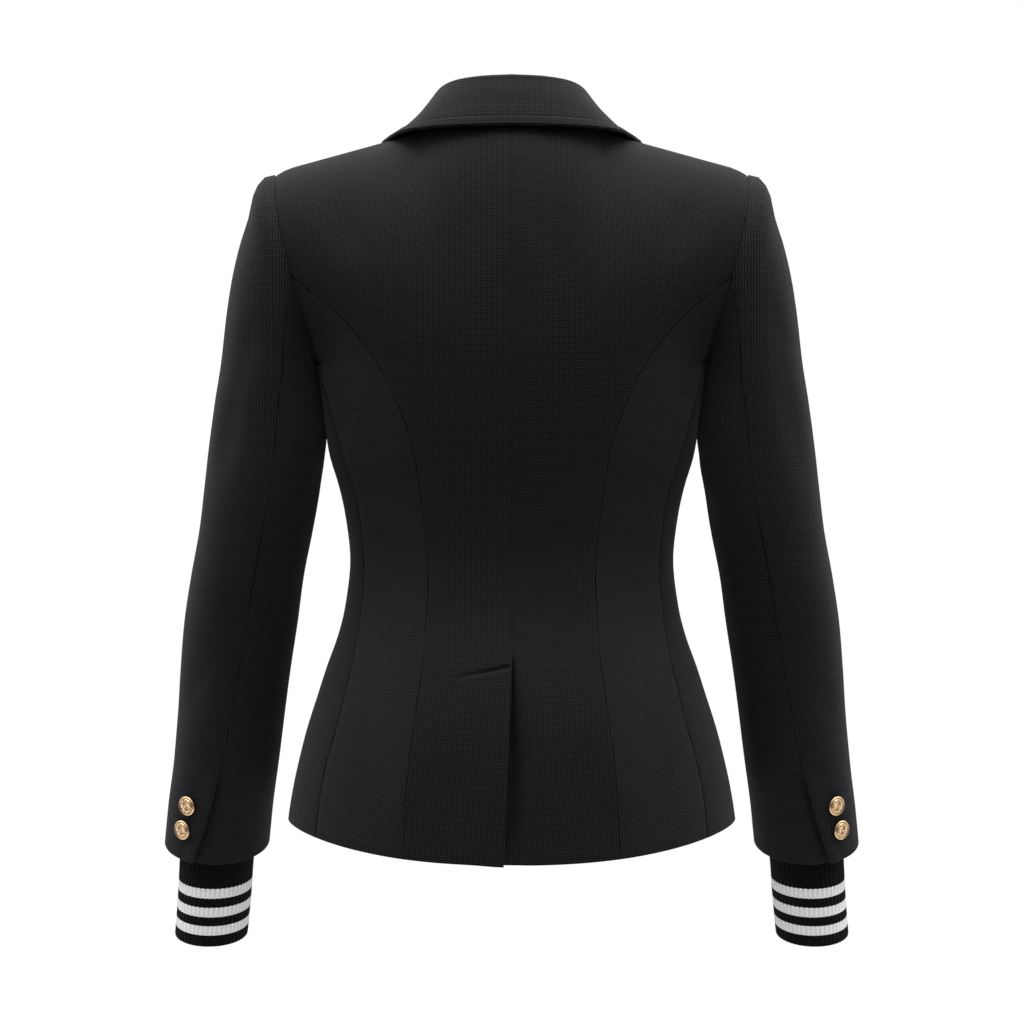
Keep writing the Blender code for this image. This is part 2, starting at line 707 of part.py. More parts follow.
# ---------------------------------------------------------------- collar
def collar_section(station):
    """The middle line of the collar's wall, from the foot over the fold to the edge."""
    foot, fold, edge = (np.array([COLLAR.at(station, part + axis) for axis in ("_x", "_y", "_z")])
                        for part in ("foot", "fold", "edge"))
    upward = unit(-(unit(edge - fold) + unit(foot - fold)))
    outward = unit((edge - foot) - np.dot(edge - foot, upward) * upward)
    r = COLLAR_FOLD_RADIUS
    hub = fold - upward * r
    line = [foot]
    bend = [hub + r * (math.cos(a) * outward + math.sin(a) * upward)
            for a in (math.pi, 0.75 * math.pi, 0.5 * math.pi, 0.25 * math.pi, 0.0)]
    line += [(foot + bend[0]) / 2] + bend
    start = bend[-1]
    notch = on_chest(COLLAR_NOTCH[0], COLLAR_NOTCH[1], 2.8)
    for k in range(1, 6):
        straight = start + (edge - start) * k / 5
        puff = COLLAR.at(station, "puff") * math.sin(math.pi * k / 5)
        if k <= 3:
            turned = start + (notch - start) * k / 3
        else:
            turned = notch + (edge - notch) * (k - 3) / 2
        at_end = ramp(station, COLLAR_END - 1.0, COLLAR_END)
        line.append(straight + (turned - straight) * at_end + (outward + upward) * puff * 0.6)
    return line


def make_collar():
    """One piece, from one front end round the neck to the other."""
    stations = [0, 0.5, 1, 1.5, 2, 2.5, 3, 3.5, 4, 4.5, 5, 5.5, 6, 6.5, 7]
    half = [collar_section(s) for s in stations]
    mirror = np.array([-1, 1, 1])
    middle = [[p * mirror for p in line] for line in half[:0:-1]] + half
    rows, columns = len(middle), len(middle[0])
    outer, inner = [], []
    for j in range(rows):
        out_row, in_row = [], []
        for i in range(columns):
            along = middle[min(j + 1, rows - 1)][i] - middle[max(j - 1, 0)][i]
            across = middle[j][min(i + 1, columns - 1)] - middle[j][max(i - 1, 0)]
            normal = unit(np.cross(across, along) * -1)
            band = COLLAR_BAND if i >= columns - 2 else 0.0
            out_row.append(middle[j][i] + normal * (COLLAR_WALL / 2 + band))
            in_row.append(middle[j][i] - normal * COLLAR_WALL / 2)
        outer.append(out_row)
        inner.append(in_row)
    verts, faces = wall(outer, inner)
    return add_node("collar", verts, faces, BLACK)


# ---------------------------------------------------------------- sleeves
SLEEVE_ROWS = [0, 0.5, 1, 1.5, 2, 3, 4, 5, 6, 7, 8, 9, 10, 11, 12, 13, 14, 15, 16, 17, 18, 19]


def make_sleeve(name, first_turn, last_turn, columns, mirrored):
    """One of a sleeve's two pieces, between two turns round its rings."""
    points, normals = [], []
    for ring in SLEEVE_ROWS:
        start, end = first_turn(ring), last_turn(ring)
        row, turned = [], []
        for i in range(columns + 1):
            turn = start + (end - start) * i / columns
            normal = sleeve_normal(ring, turn)
            row.append(sleeve(ring, turn) - normal * crease_depth(ring, turn))
            turned.append(normal)
        points.append(row)
        normals.append(turned)
    draw_back(points, normals, 0, 1)
    draw_back(points, normals, -1, -1)
    verts, faces = wall(points, below(points, normals, CLOTH))
    return add_node(name, verts, faces, BLACK, mirrored=mirrored)


def back_seam_turn(ring):
    return SLEEVE_SEAM.at(ring, "turn")


def front_seam_turn(ring):
    return 360.0 + SLEEVE_FRONT_SEAM


# ---------------------------------------------------------------- knit cuff


def cuff_point(ring, turn):
    """Ring 0 lies against the sleeve's inside, rings 2 to 5 hang free below."""
    if ring < 1:
        return sleeve(CUFF_TOP_RING, turn) - sleeve_normal(CUFF_TOP_RING, turn) * (CLOTH + CUFF_CLEAR)

    def size(name):
        return CUFF.at(max(ring, 2), name)
    y = size("y")
    inner = from_seen(size("inner_x"), size("z"), y)
    outer = from_seen(size("outer_x"), size("z"), y)
    pitch, angle = math.radians(size("pitch")), math.radians(turn)
    free = ((inner + outer) / 2 - math.cos(angle) * (outer - inner) / 2
            + math.sin(angle) * size("half_depth") * np.array([0, math.cos(pitch), -math.sin(pitch)]))
    if ring >= 2:
        return free
    return free * 0.72 + cuff_point(0, turn) * 0.28 + np.array([0, 0, 6.0])


def make_cuff(name, mirrored):
    """A ribbed tube: ribs are raised in the outer points, the inside is plain."""
    around = CUFF_RIBS * 2
    outer, inner = [], []
    for ring in (0, 1, 2, 5):
        out_row, in_row = [], []
        centre = sum(cuff_point(ring, 90 * k) for k in range(4)) / 4
        for k in range(around):
            turn = 360 * k / around
            point = cuff_point(ring, turn)
            away = unit(point - centre)
            groove = RIB_DEPTH if k % 2 and ring > 0 else 0.0
            out_row.append(point - away * groove)
            in_row.append(point - away * (KNIT_WALL if ring else CLOTH))
        outer.append(out_row)
        inner.append(in_row)
    verts, faces = wall(outer, inner, closed=True)
    return add_node(name, verts, faces, KNIT_BLACK, mirrored=mirrored)


# ---------------------------------------------------------------- buttons
def button_profile(diameter):
    """A domed metal button on a short shank, with a raised rim."""
    r = diameter / 2
    return [(0.0, 2.4), (1.5, 2.4), (1.6, r * 0.86), (2.3, r), (3.1, r), (3.5, r * 0.93),
            (3.3, r * 0.84), (3.9, r * 0.6), (4.3, r * 0.3)]


def sleeve_button_spot(seen_x, seen_z):
    """Ring and turn of the sleeve where a button shows at seen_x, seen_z."""
    ring, turn = 18.0, 125.0
    for _ in range(40):
        x, z = as_seen(sleeve(ring, turn))
        ring += (z - seen_z) / 38.0
        turn += (seen_x - x) * 0.9
    return ring, turn


def make_sleeve_buttons(side, mirrored):
    for place, (seen_x, seen_z) in SLEEVE_BUTTONS.items():
        ring, turn = sleeve_button_spot(seen_x, seen_z)
        normal = sleeve_normal(ring, turn)
        seat = sleeve(ring, turn) + normal * BUTTON_SEAT
        verts, faces = turned_solid(button_profile(SLEEVE_BUTTON), 12, seat, normal)
        add_node(f"sleeve_button_{side}_{place}", verts, faces, GOLD, 1.0, 0.3, mirrored)


def make_front_buttons():
    for place, z in FRONT_BUTTONS.items():
        v = solve(lambda row: body(2.0, row)[2] - z, 0.0, 1.0)
        normal = body_normal(2.0, v)
        seat = body(2.0, v) + normal * BUTTON_SEAT
        verts, faces = turned_solid(button_profile(FRONT_BUTTON), 16, seat, normal)
        add_node(f"front_button_{place}", verts, faces, GOLD, 1.0, 0.3)


# ---------------------------------------------------------------- assembly
def main():
    for old in list(bpy.data.objects):
        bpy.data.objects.remove(old)
    for side, mirrored in (("left", False), ("right", True)):
        make_back(f"back_{side}", mirrored)
        make_side_back(f"side_back_{side}", mirrored)
        make_front(f"front_{side}", mirrored)
        make_lapel(f"lapel_{side}", mirrored)
        make_sleeve(f"upper_sleeve_{side}", back_seam_turn, front_seam_turn, 11, mirrored)
        make_sleeve(f"under_sleeve_{side}", lambda ring: SLEEVE_FRONT_SEAM, back_seam_turn, 6, mirrored)
        make_cuff(f"cuff_{side}", mirrored)
        make_sleeve_buttons(side, mirrored)
    make_collar()
    make_front_buttons()


if __name__ == "__main__":
    main()
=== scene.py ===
"""The blazer's looks: woven cloth panels, collar, lapels, ribbed cuffs and metal buttons.

Lengths in the tables and formulas are millimetres, and meshes are made in metres.
+X is the wearer's left, -Y the front and +Z up.
"""
import math

import bmesh
import bpy
import numpy as np
from bpy.props import (FloatProperty, FloatVectorProperty, IntProperty, PointerProperty)
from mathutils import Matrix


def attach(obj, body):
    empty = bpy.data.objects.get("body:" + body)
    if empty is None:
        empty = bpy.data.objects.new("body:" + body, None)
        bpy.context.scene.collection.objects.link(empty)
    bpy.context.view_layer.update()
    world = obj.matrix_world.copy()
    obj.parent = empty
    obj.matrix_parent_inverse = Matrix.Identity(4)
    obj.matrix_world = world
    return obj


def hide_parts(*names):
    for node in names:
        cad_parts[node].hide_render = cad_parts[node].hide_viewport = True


bl_info = {
    "name": "Blazer",
    "version": (1, 0, 0),
    "blender": (4, 5, 0),
    "location": "View3D > Sidebar > Blazer",
    "description": "Builds a fitted blazer with ribbed cuffs and metal buttons",
    "category": "Add Mesh",
}

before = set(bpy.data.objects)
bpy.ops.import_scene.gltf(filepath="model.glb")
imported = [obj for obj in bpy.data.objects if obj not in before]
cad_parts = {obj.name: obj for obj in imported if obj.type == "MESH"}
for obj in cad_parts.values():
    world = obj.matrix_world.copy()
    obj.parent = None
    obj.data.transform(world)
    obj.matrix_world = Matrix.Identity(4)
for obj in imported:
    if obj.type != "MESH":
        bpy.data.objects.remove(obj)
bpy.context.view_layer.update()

MM = 0.001
CLOTH = 2.0
SEAM_GAP = 0.3
SEAM_LINE = 0.5               # a seam's dark line: how far its two edges stand apart
SEAM_LAP = 0.04               # and how far the cloth behind it laps
SLEEVE_LAP = 0.9              # the same for a sleeve, behind the armhole's edge
COLLAR_WALL = 2.4
LAPEL_WALL = 2.2
KNIT_WALL = 2.6
VIEW_DISTANCE = 3100.0
VIEW_HEIGHT = -331.0
VIEW_WIDTH = 849.9            # what the picture's width shows in the plane y = 0
UNDERARM_Z = -205.0
SIDE_HEM_Z = -585.0
BACK_HEM_DROP = 27.5
FRONT_HEM_DROP = 12.0
SECTION_POWER = 2.3
HEM_POWER = 1.75
HEM_TO_UNDERARM = 380.0       # about how far a row parameter of 1 runs below the underarm
UNDERARM_TO_TOP = 230.0       # and above it
NORMAL_START = 1.03           # between the underarm and here the normal is that of this row
NEAR_TOP = 1.995
ARMHOLE_FADE = 12.0           # creases die out this near the armhole's edge
NECK_HALF = 73.1
NECK_BACK_Y = 47.0
NECK_BACK_Z = -5.0
SHOULDER_TIP_X = 195.0
SHOULDER_SLOPE = 0.2742
SHOULDER_DIP = 3.0
ARMHOLE_TIP_Z = -52.0
ARMHOLE_BACK = 58.0
ARMHOLE_FRONT = 56.0
SIDE_POINT = 0.012
PRINCESS_END_Z = -137.0
CHEST_SLANT = 0.2
VENT_TOP_Z = -455.0
VENT_SPREAD = 6.4
VENT_UNDERLAP = 34.0
VENT_TUCK = 4.2
VENT_DROP = 8.5
VENT_FOLD_TOP = 5.0           # how far out the underlap is tucked at the vent's top
VENT_FOLD_GROWTH = 13.0       # and how much further lower down
VENT_CORNER_DROP = 1.4        # how far the upper vent edge hangs below the hem
VENT_CORNER_WIDTH = 18.0
ARM_RADIUS = 46.0
NECK_SPREAD = 0.08
CHEST_BEND_REACH = 24.0
FRONT_BEND = 0.25
BACK_BEND = -0.087
EDGE_REST = 1.9               # how far the collar's edge settles near its third station
COLLAR_FULLER = 1.4           # and how much fuller its fall is there
UNDERARM_PRESS = 2.4
UNDERARM_REST = -262.0        # below here the sleeve leaves the body
UNDERARM_FREE = -198.0        # and above here it isn't pressed
FRONT_LAP = 18.0
FRONT_REACH = 2.35
FRONT_TUCK = 7.0
BREAK_Z = -305.0
SLEEVE_BUTTON = 16.5
FRONT_BUTTON = 20.5
BUTTON_SEAT = 0.6
UNDER_SLEEVE_SUNK = 0.7       # how far the under sleeve lies below the upper at their seam
UPPER_LAP_RISE = 2.4          # at the sleeve's vent the upper rises
UNDER_LAP_DEPTH = 3.2         # and the under sleeve sinks
CUFF_TOP_RING = 18.45
CUFF_CLEAR = 1.2
SLEEVE_END = 19
SLEEVE_HEAD_RINGS = 8
SLEEVE_FRONT_SEAM = -52.0
COLLAR_FOLD_RADIUS = 3.2
COLLAR_BAND = 0.8
COLLAR_END = 7
COLLAR_NOTCH = (82.0, -86.0)
LAPEL_NOTCH = (82.5, -89.5)
LAPEL_NECK = (59.0, -69.0)
LAPEL_POINT_Z = -98.0
SLEEVE_BUTTONS = {"upper": (267.9, -574.4), "lower": (271.8, -594.3)}
FRONT_BUTTONS = {"upper": -336.0, "lower": -432.0}
STRIPES = ((10.5, 18.9), (27.0, 35.4), (43.6, 52.2))    # above the cuff's end
BACKWARD = np.array([0, 1, 0.3])
EPS = 1e-6


# ---------------------------------------------------------------- tables
class Table:
    """Rows of sizes under named columns, read smoothly between the rows."""

    def __init__(self, names, rows):
        self.names = names.split()
        self.rows = np.array(sorted(rows), float)
        last = len(rows) - 1
        low = np.maximum(np.arange(last + 1) - 1, 0)
        high = np.minimum(np.arange(last + 1) + 1, last)
        self.keys = self.rows[:, 0]
        apart = (self.keys[high] - self.keys[low])[:, None]
        self.slopes = (self.rows[high] - self.rows[low]) / apart

    def at(self, key, name):
        column, keys = self.names.index(name), self.keys
        key = np.clip(key, keys[0], keys[-1])
        k = np.clip(np.searchsorted(keys, key, side="right") - 1, 0, len(keys) - 2)
        step = keys[k + 1] - keys[k]
        u = (key - keys[k]) / step
        rows, slopes = self.rows[:, column], self.slopes[:, column]
        return ((2 * u**3 - 3 * u**2 + 1) * rows[k] + (u**3 - 2 * u**2 + u) * step * slopes[k]
                + (3 * u**2 - 2 * u**3) * rows[k + 1] + (u**3 - u**2) * step * slopes[k + 1])


TORSO = Table("z half_width back front", [
    (-205, 162.0, 102, 118), (-228, 159.0, 100, 126), (-255, 155.5, 97, 130),
    (-284, 151.0, 93, 128), (-309, 143.5, 89, 120), (-334, 138.0, 86, 110),
    (-371, 134.0, 84, 101), (-408, 138.0, 90, 102), (-433, 144.0, 98, 105),
    (-458, 153.0, 107, 109), (-483, 161.0, 115, 113), (-508, 169.0, 121, 117),
    (-533, 175.5, 125, 120), (-558, 181.0, 127, 122), (-583, 185.0, 128, 123),
    (-613, 188.0, 129, 124),
])
ARMHOLE = Table("z back_x front_x", [
    (-205, 162.0, 162.0), (-190, 163.5, 160.5), (-168, 170.5, 162.0), (-155, 175.0, 164.5),
    (-136, 180.5, 169.0), (-120, 184.5, 174.0), (-100, 189.0, 181.0), (-78, 193.0, 189.0),
    (-52, SHOULDER_TIP_X, SHOULDER_TIP_X),
])
PRINCESS_SEAM = Table("z x", [
    (-136, 182.5), (-155, 158.5), (-168, 143.5), (-180, 132.0), (-193, 121.5),
    (-211, 110.0), (-227, 101.0), (-248, 92.0), (-269, 84.5), (-288, 80.0),
    (-309, 77.0), (-345, 72.5), (-371, 70.0), (-404, 70.0), (-452, 73.5),
    (-493, 79.0), (-540, 85.0), (-620, 91.0),
])
SIDE_SEAM = Table("z x", [
    (-205, 162.0), (-240, 152.0), (-284, 140.0), (-320, 129.0), (-371, 123.0),
    (-405, 124.5), (-444, 130.0), (-483, 139.0), (-511, 146.0), (-540, 154.0),
    (-576, 160.5), (-620, 164.0),
])
FRONT_EDGE = Table("z x", [
    (-15, NECK_HALF), (-30, 70.0), (-62, 61.0), (-120, 42.0), (-200, 16.0),
    (-260, -3.5), (BREAK_Z, -FRONT_LAP), (-340, -FRONT_LAP), (-440, -FRONT_LAP),
    (-500, -13.0), (-545, 0.0), (-572, 18.0), (-586, 36.0), (-600, 62.0),
])
SLEEVE = Table("ring inner_x inner_z outer_x outer_z y half_depth pitch", [
    (0, 162.3, -205.0, 195.3, -52.0, 0, 57.0, 0),
    (1, 162.8, -206.6, 199.2, -51.0, 0, 57.6, 0),
    (2, 163.2, -208.2, 207.5, -55.6, 0, 58.6, 0),
    (3, 163.6, -209.8, 214.2, -68.0, 0, 59.4, 0),
    (4, 164.0, -211.4, 218.2, -87.0, 0, 60.0, 0),
    (5, 163.3, -213.4, 225.5, -110.0, 0, 60.0, 0),
    (6, 162.6, -216.0, 231.8, -137.0, 0, 60.0, 0),
    (7, 161.7, -219.5, 236.6, -168.0, -1, 60.0, 0),
    (8, 160.4, -226.0, 241.0, -207.0, -1, 60.0, 0),
    (9, 158.1, -242.0, 246.2, -240.0, -2, 60.0, 0),
    (10, 153.8, -276.0, 251.2, -277.0, -3, 59.0, 0),
    (11, 158.3, -309.0, 254.8, -309.0, -4, 57.5, 2),
    (12, 165.0, -346.0, 259.2, -346.0, -7, 55.5, 6),
    (13, 172.4, -383.5, 266.0, -383.5, -13, 53.5, 10),
    (14, 177.4, -421.0, 271.6, -421.0, -21, 51.0, 13),
    (15, 183.0, -458.0, 274.6, -458.0, -30, 49.0, 15),
    (16, 188.0, -495.6, 276.9, -495.6, -39.5, 47.0, 16),
    (17, 192.6, -533.0, 280.3, -533.0, -49, 45.5, 17),
    (18, 197.6, -570.0, 284.6, -570.0, -58.5, 44.0, 20),
    (19, 201.0, -604.0, 287.9, -604.0, -67, 43.0, 23),
])
SLEEVE_SEAM = Table("ring turn", [
    (0, 74), (8, 70), (10, 79), (13, 81), (15, 85), (17, 94), (18, 101), (19, 112),
])
SLEEVE_VENT = (16.7, 17.4)      # over these rings the back seam opens into a lap
CUFF = Table("ring inner_x outer_x z y half_depth pitch", [
    (2, 212.5, 275.0, -604.0, -68.0, 31.0, 14),
    (3, 214.2, 275.8, -622.0, -71.5, 31.0, 14),
    (4, 216.0, 277.4, -650.0, -78.5, 31.0, 15),
    (5, 219.2, 279.4, -680.3, -86.0, 30.5, 17),
])
COLLAR = Table("station foot_x foot_y foot_z fold_x fold_y fold_z edge_x edge_y edge_z puff", [
    (0, 0.0, 47.0, -4.3, 0.0, 47.5, 25.5, 0.0, 71.5, -17.3, 1.8),
    (1, 27.0, 43.7, -5.6, 26.0, 44.5, 24.4, 36.0, 69.5, -17.8, 1.8),
    (2, 51.7, 33.2, -9.4, 46.0, 31.5, 22.0, 72.0, 57.5, -18.6, 0.0),
    (3, 66.8, 19.2, -12.8, 56.5, 14.5, 17.0, 93.0, 33.0, -18.8, -4.5),
    (4, 72.7, 0.0, -14.3, 60.0, -3.0, 8.5, 104.5, -1.0, -21.3, -6.5),
    (5, 69.5, -15.0, -20.0, 61.5, -23.0, -4.5, 110.0, -27.5, -27.5, -3.0),
    (6, 64.5, -33.0, -38.0, 60.0, -46.0, -24.5, 108.8, -54.5, -51.3, 0.5),
    (7, 56.0, -58.0, -66.0, 54.5, -72.0, -56.0, 103.5, -71.0, -75.3, 1.8),
])
LAPEL_EDGE = Table("z x", [
    (BREAK_Z, -14.0), (-270, 20.0), (-220, 55.0), (-160, 92.0), (-120, 110.0),
    (-98, 116.0),
])

# Creases of the body in a straight view: each runs from x0, z0 to x1, z1 and
# fades at both ends. A negative depth is a ridge. Both sides have their own.
BODY_CREASES = {
    ("left", "back"): [
        (148, -62, 128, -132, 15, 2.6), (164, -150, 128, -238, 10, 1.5), (128, -300, 90, -330, 8, 1.5),
        (122, -352, 76, -362, 7, 1.3), (60, -338, 22, -346, 8, 0.9), (118, -398, 84, -392, 6, 0.9),
        (112, -455, 118, -592, 13, 2.0), (50, -498, 44, -602, 15, 1.3), (84, -500, 88, -606, 11, -1.2),
        (30, -60, 52, -170, 24, 1.2), (2, -455.0, 53, -466.0, 1.8, 2.0), (4, -478, 20, -600, 10, -1.0),
    ],
    ("right", "back"): [
        (150, -66, 132, -126, 14, 2.3), (160, -156, 124, -246, 11, 1.7), (126, -308, 94, -330, 7, 1.2),
        (124, -362, 70, -352, 8, 1.4), (56, -352, 16, -344, 8, 0.9), (116, -392, 88, -402, 6, 1.0),
        (114, -470, 120, -596, 12, 1.8), (56, -488, 48, -600, 16, 1.2), (86, -520, 92, -604, 12, -1.1),
        (34, -64, 48, -158, 22, 1.0),
    ],
    ("left", "front"): [
        (160, -196, 112, -226, 9, 2.0), (150, -150, 118, -192, 10, 1.6), (22, -338, 84, -346, 6, 1.7),
        (24, -350, 102, -384, 8, 1.3), (24, -432, 96, -444, 7, 1.3), (130, -372, 88, -366, 8, 1.4),
        (100, -470, 116, -580, 15, 1.8), (138, -68, 128, -120, 14, 1.4), (60, -480, 64, -580, 14, -1.1),
    ],
    ("right", "front"): [
        (158, -190, 108, -216, 10, 1.8), (152, -158, 124, -200, 9, 1.5), (22, -334, 92, -326, 6, 1.6),
        (24, -346, 96, -366, 7, 1.5), (22, -430, 84, -424, 6, 1.2), (24, -440, 104, -462, 8, 1.3),
        (128, -380, 90, -378, 7, 1.3), (104, -476, 112, -574, 14, 1.7), (136, -72, 130, -116, 13, 1.3),
    ],
}
# Creases of the sleeves: ring, turn, half length in rings, half width in
# degrees, lean in degrees a half length, and depth.
SLEEVE_CREASES = {
    "left": [
        (9.6, 128, 1.5, 16, 9, 3.0), (12.4, 52, 1.2, 18, -8, 2.5), (13.4, 300, 1.1, 22, 6, 3.0),
        (4.2, 96, 1.8, 12, -8, 1.5), (7.4, 112, 1.6, 15, 12, 1.8), (12.0, 106, 0.9, 24, -26, 1.8),
        (13.6, 82, 0.8, 22, -24, 1.6), (15.2, 132, 1.1, 18, 22, 1.7), (16.6, 60, 1.0, 20, -16, 1.4),
        (11.2, 226, 1.2, 20, -20, 1.6), (12.9, 242, 0.9, 24, -24, 2.0), (14.6, 262, 1.0, 22, 20, 1.6),
        (9.6, 345, 0.9, 22, 14, 2.0), (11.0, 20, 0.9, 20, 18, 1.8), (17.4, 205, 0.8, 26, 20, 1.1),
    ],
    "right": [
        (9.2, 122, 1.6, 17, 10, 2.8), (12.7, 56, 1.1, 17, -9, 2.6), (13.1, 304, 1.2, 20, 8, 2.8),
        (4.6, 92, 1.6, 13, -9, 1.4), (6.9, 116, 1.7, 14, 10, 1.7), (12.3, 112, 1.0, 22, -28, 1.7),
        (14.0, 88, 0.8, 24, -22, 1.5), (15.6, 126, 1.0, 19, 24, 1.6), (17.0, 66, 0.9, 18, -14, 1.2),
        (11.5, 232, 1.1, 22, -18, 1.7), (13.3, 246, 1.0, 22, -22, 1.8), (15.0, 258, 1.1, 20, 22, 1.5),
        (9.9, 350, 0.9, 20, 12, 1.9), (11.4, 14, 0.8, 22, 20, 1.7), (17.8, 210, 0.8, 24, 18, 1.0),
    ],
}


# ---------------------------------------------------------------- small maths
def point(x, y, z):
    return np.stack(np.broadcast_arrays(x, y, z), -1).astype(float)


def unit(vectors):
    return vectors / np.maximum(np.linalg.norm(vectors, axis=-1, keepdims=True), 1e-12)


def as_seen(points):
    """Where points show, measured in the plane y = 0, in the view from behind."""
    grow = VIEW_DISTANCE / (VIEW_DISTANCE - points[..., 1])
    return points[..., 0] * grow, VIEW_HEIGHT + (points[..., 2] - VIEW_HEIGHT) * grow


def from_seen(x, z, y):
    shrink = (VIEW_DISTANCE - y) / VIEW_DISTANCE
    return point(x * shrink, y, VIEW_HEIGHT + (z - VIEW_HEIGHT) * shrink)


def ramp(value, start, end):
    """0 at start, 1 at end, with a soft turn at both."""
    u = np.clip((value - start) / (end - start), 0.0, 1.0)
    return u * u * (3 - 2 * u)


def solve(function, low, high, like=0.0):
    """Where a rising function crosses zero, or the end it does not pass."""
    low = np.full(np.shape(like), low, float)
    high = np.full(np.shape(like), high, float)
    for _ in range(36):
        middle = (low + high) / 2
        below = function(middle) < 0
        low, high = np.where(below, middle, low), np.where(below, high, middle)
    return (low + high) / 2


# ---------------------------------------------------------------- body surface
def shoulder_z(x):
    end = np.maximum(0.0, (x - 180.0) / 15.0)
    return -26.6 - (x - 113.5) * SHOULDER_SLOPE - SHOULDER_DIP * end**2


def top_of_body(x, back):
    """The neckline or the shoulder seam, at a distance from the middle."""
    part = np.minimum(x / NECK_HALF, 1.0)
    fall = shoulder_z(NECK_HALF) - NECK_BACK_Z
    at_back = point(x, NECK_BACK_Y * np.sqrt(1 - part**2), NECK_BACK_Z + fall * part**2)
    at_front = point(x, -0.2 * (NECK_HALF - x), shoulder_z(NECK_HALF))
    at_neck = np.where(back[..., None], at_back, at_front)
    return np.where((x >= NECK_HALF)[..., None], point(x, 0.0, shoulder_z(x)), at_neck)


def armhole(turn):
    """A point of the left armhole; turn 0 is the underarm, 90 the back, 180 the tip."""
    angle = np.radians(turn)
    z = UNDERARM_Z + (ARMHOLE_TIP_Z - UNDERARM_Z) * (1 - np.cos(angle)) / 2
    swing = np.sin(angle)
    behind = swing >= 0
    x = np.where(behind, ARMHOLE.at(z, "back_x"), ARMHOLE.at(z, "front_x"))
    return point(x, np.where(behind, ARMHOLE_BACK, ARMHOLE_FRONT) * swing, z)


def arc(t):
    """Sine and cosine of a rounded quarter, t 0 at the centre and 1 at the side."""
    turn = math.pi / 2 * np.minimum(np.abs(t), 1.0)
    power = 2 / SECTION_POWER
    return np.sin(turn) ** power, np.maximum(np.cos(turn), 0.0) ** power


def hold(w, back):
    """How much of the chest's depth is left, w of the way up to the shoulder."""
    rise = (1 - np.cos(math.pi * w)) / 2
    round_part = np.sqrt(np.maximum(1 - rise**2, 0.0))
    return np.where(back, round_part, CHEST_SLANT * (1 - rise) + (1 - CHEST_SLANT) * round_part)


def chest_depth(back):
    return np.where(back, TORSO.at(UNDERARM_Z, "back"), TORSO.at(UNDERARM_Z, "front"))


def turn_softly(z, back):
    """Rounds the bend between the chest and the part above it, at the underarm's level."""
    near = np.maximum(CHEST_BEND_REACH - np.abs(z - UNDERARM_Z), 0.0)
    return np.where(back, BACK_BEND, FRONT_BEND) * near**2 / (4 * CHEST_BEND_REACH)


def armhole_part(w, back):
    """The part of the underarm section's quarter that is inside the armhole."""
    w = np.clip(w, 0.0, 0.9999)
    swing = np.abs(armhole(np.where(back, 180 * w, -180 * w))[..., 1])
    part = np.minimum(swing / hold(w, back) / chest_depth(back), 1.0)
    return np.where(w < 1e-9, 1.0, 2 / math.pi * np.arccos(part ** (SECTION_POWER / 2)))


def row_x(t, w, back):
    reach = armhole_part(w, back)
    rim = armhole(np.where(back, 180 * w, -180 * w))[..., 0]
    return rim * arc(t * reach)[0] / arc(reach)[0]


def body(tau, v):
    """The left half of the body: tau 0 centre back, 1 side, 2 centre front;
    v 0 hem, 1 underarm level, 2 shoulder seam or neckline."""
    tau, v = np.broadcast_arrays(np.asarray(tau, float), np.asarray(v, float))
    back = tau <= 1
    side = np.where(back, 1.0, -1.0)
    t = np.where(back, tau, 2 - tau)
    sideways = np.cos(math.pi / 2 * np.minimum(np.abs(t), 1.0))
    drop = np.where(back, BACK_HEM_DROP, FRONT_HEM_DROP)
    hem = SIDE_HEM_Z - drop * np.maximum(sideways, 0.0) ** HEM_POWER
    z = hem + (UNDERARM_Z - hem) * np.minimum(v, 1.0)
    across, deep = arc(t)
    depth = np.where(back, TORSO.at(z, "back"), TORSO.at(z, "front"))
    soften = turn_softly(z, back) * deep
    low_x = np.copysign(TORSO.at(z, "half_width") * across, t)
    low = point(low_x, side * (depth * deep + soften), z)
    w = np.clip(v - 1, 0.0, 1.0)
    rise = (1 - np.cos(math.pi * w)) / 2
    top_x = row_x(np.abs(t), np.ones_like(w), back)
    top = top_of_body(top_x, back)
    deep = arc(t * armhole_part(w, back))[1] * side * chest_depth(back)
    part = 1 - np.minimum(top_x / NECK_HALF, 2.0) ** 2
    spread = NECK_SPREAD * ramp(w, 1.0, 0.8)
    nape = NECK_BACK_Y * np.sqrt(np.maximum(part + np.hypot(part, spread), 0.0) / 2)
    y = np.where(back & (w < 1), nape, top[..., 1])
    y = y + (deep - y) * hold(w, back)
    z = UNDERARM_Z + (top[..., 2] - UNDERARM_Z) * rise
    y = y + turn_softly(z, back) * deep / chest_depth(back)
    high = point(np.copysign(row_x(np.abs(t), w, back), t), y, z)
    return np.where((v <= 1)[..., None], low, high)


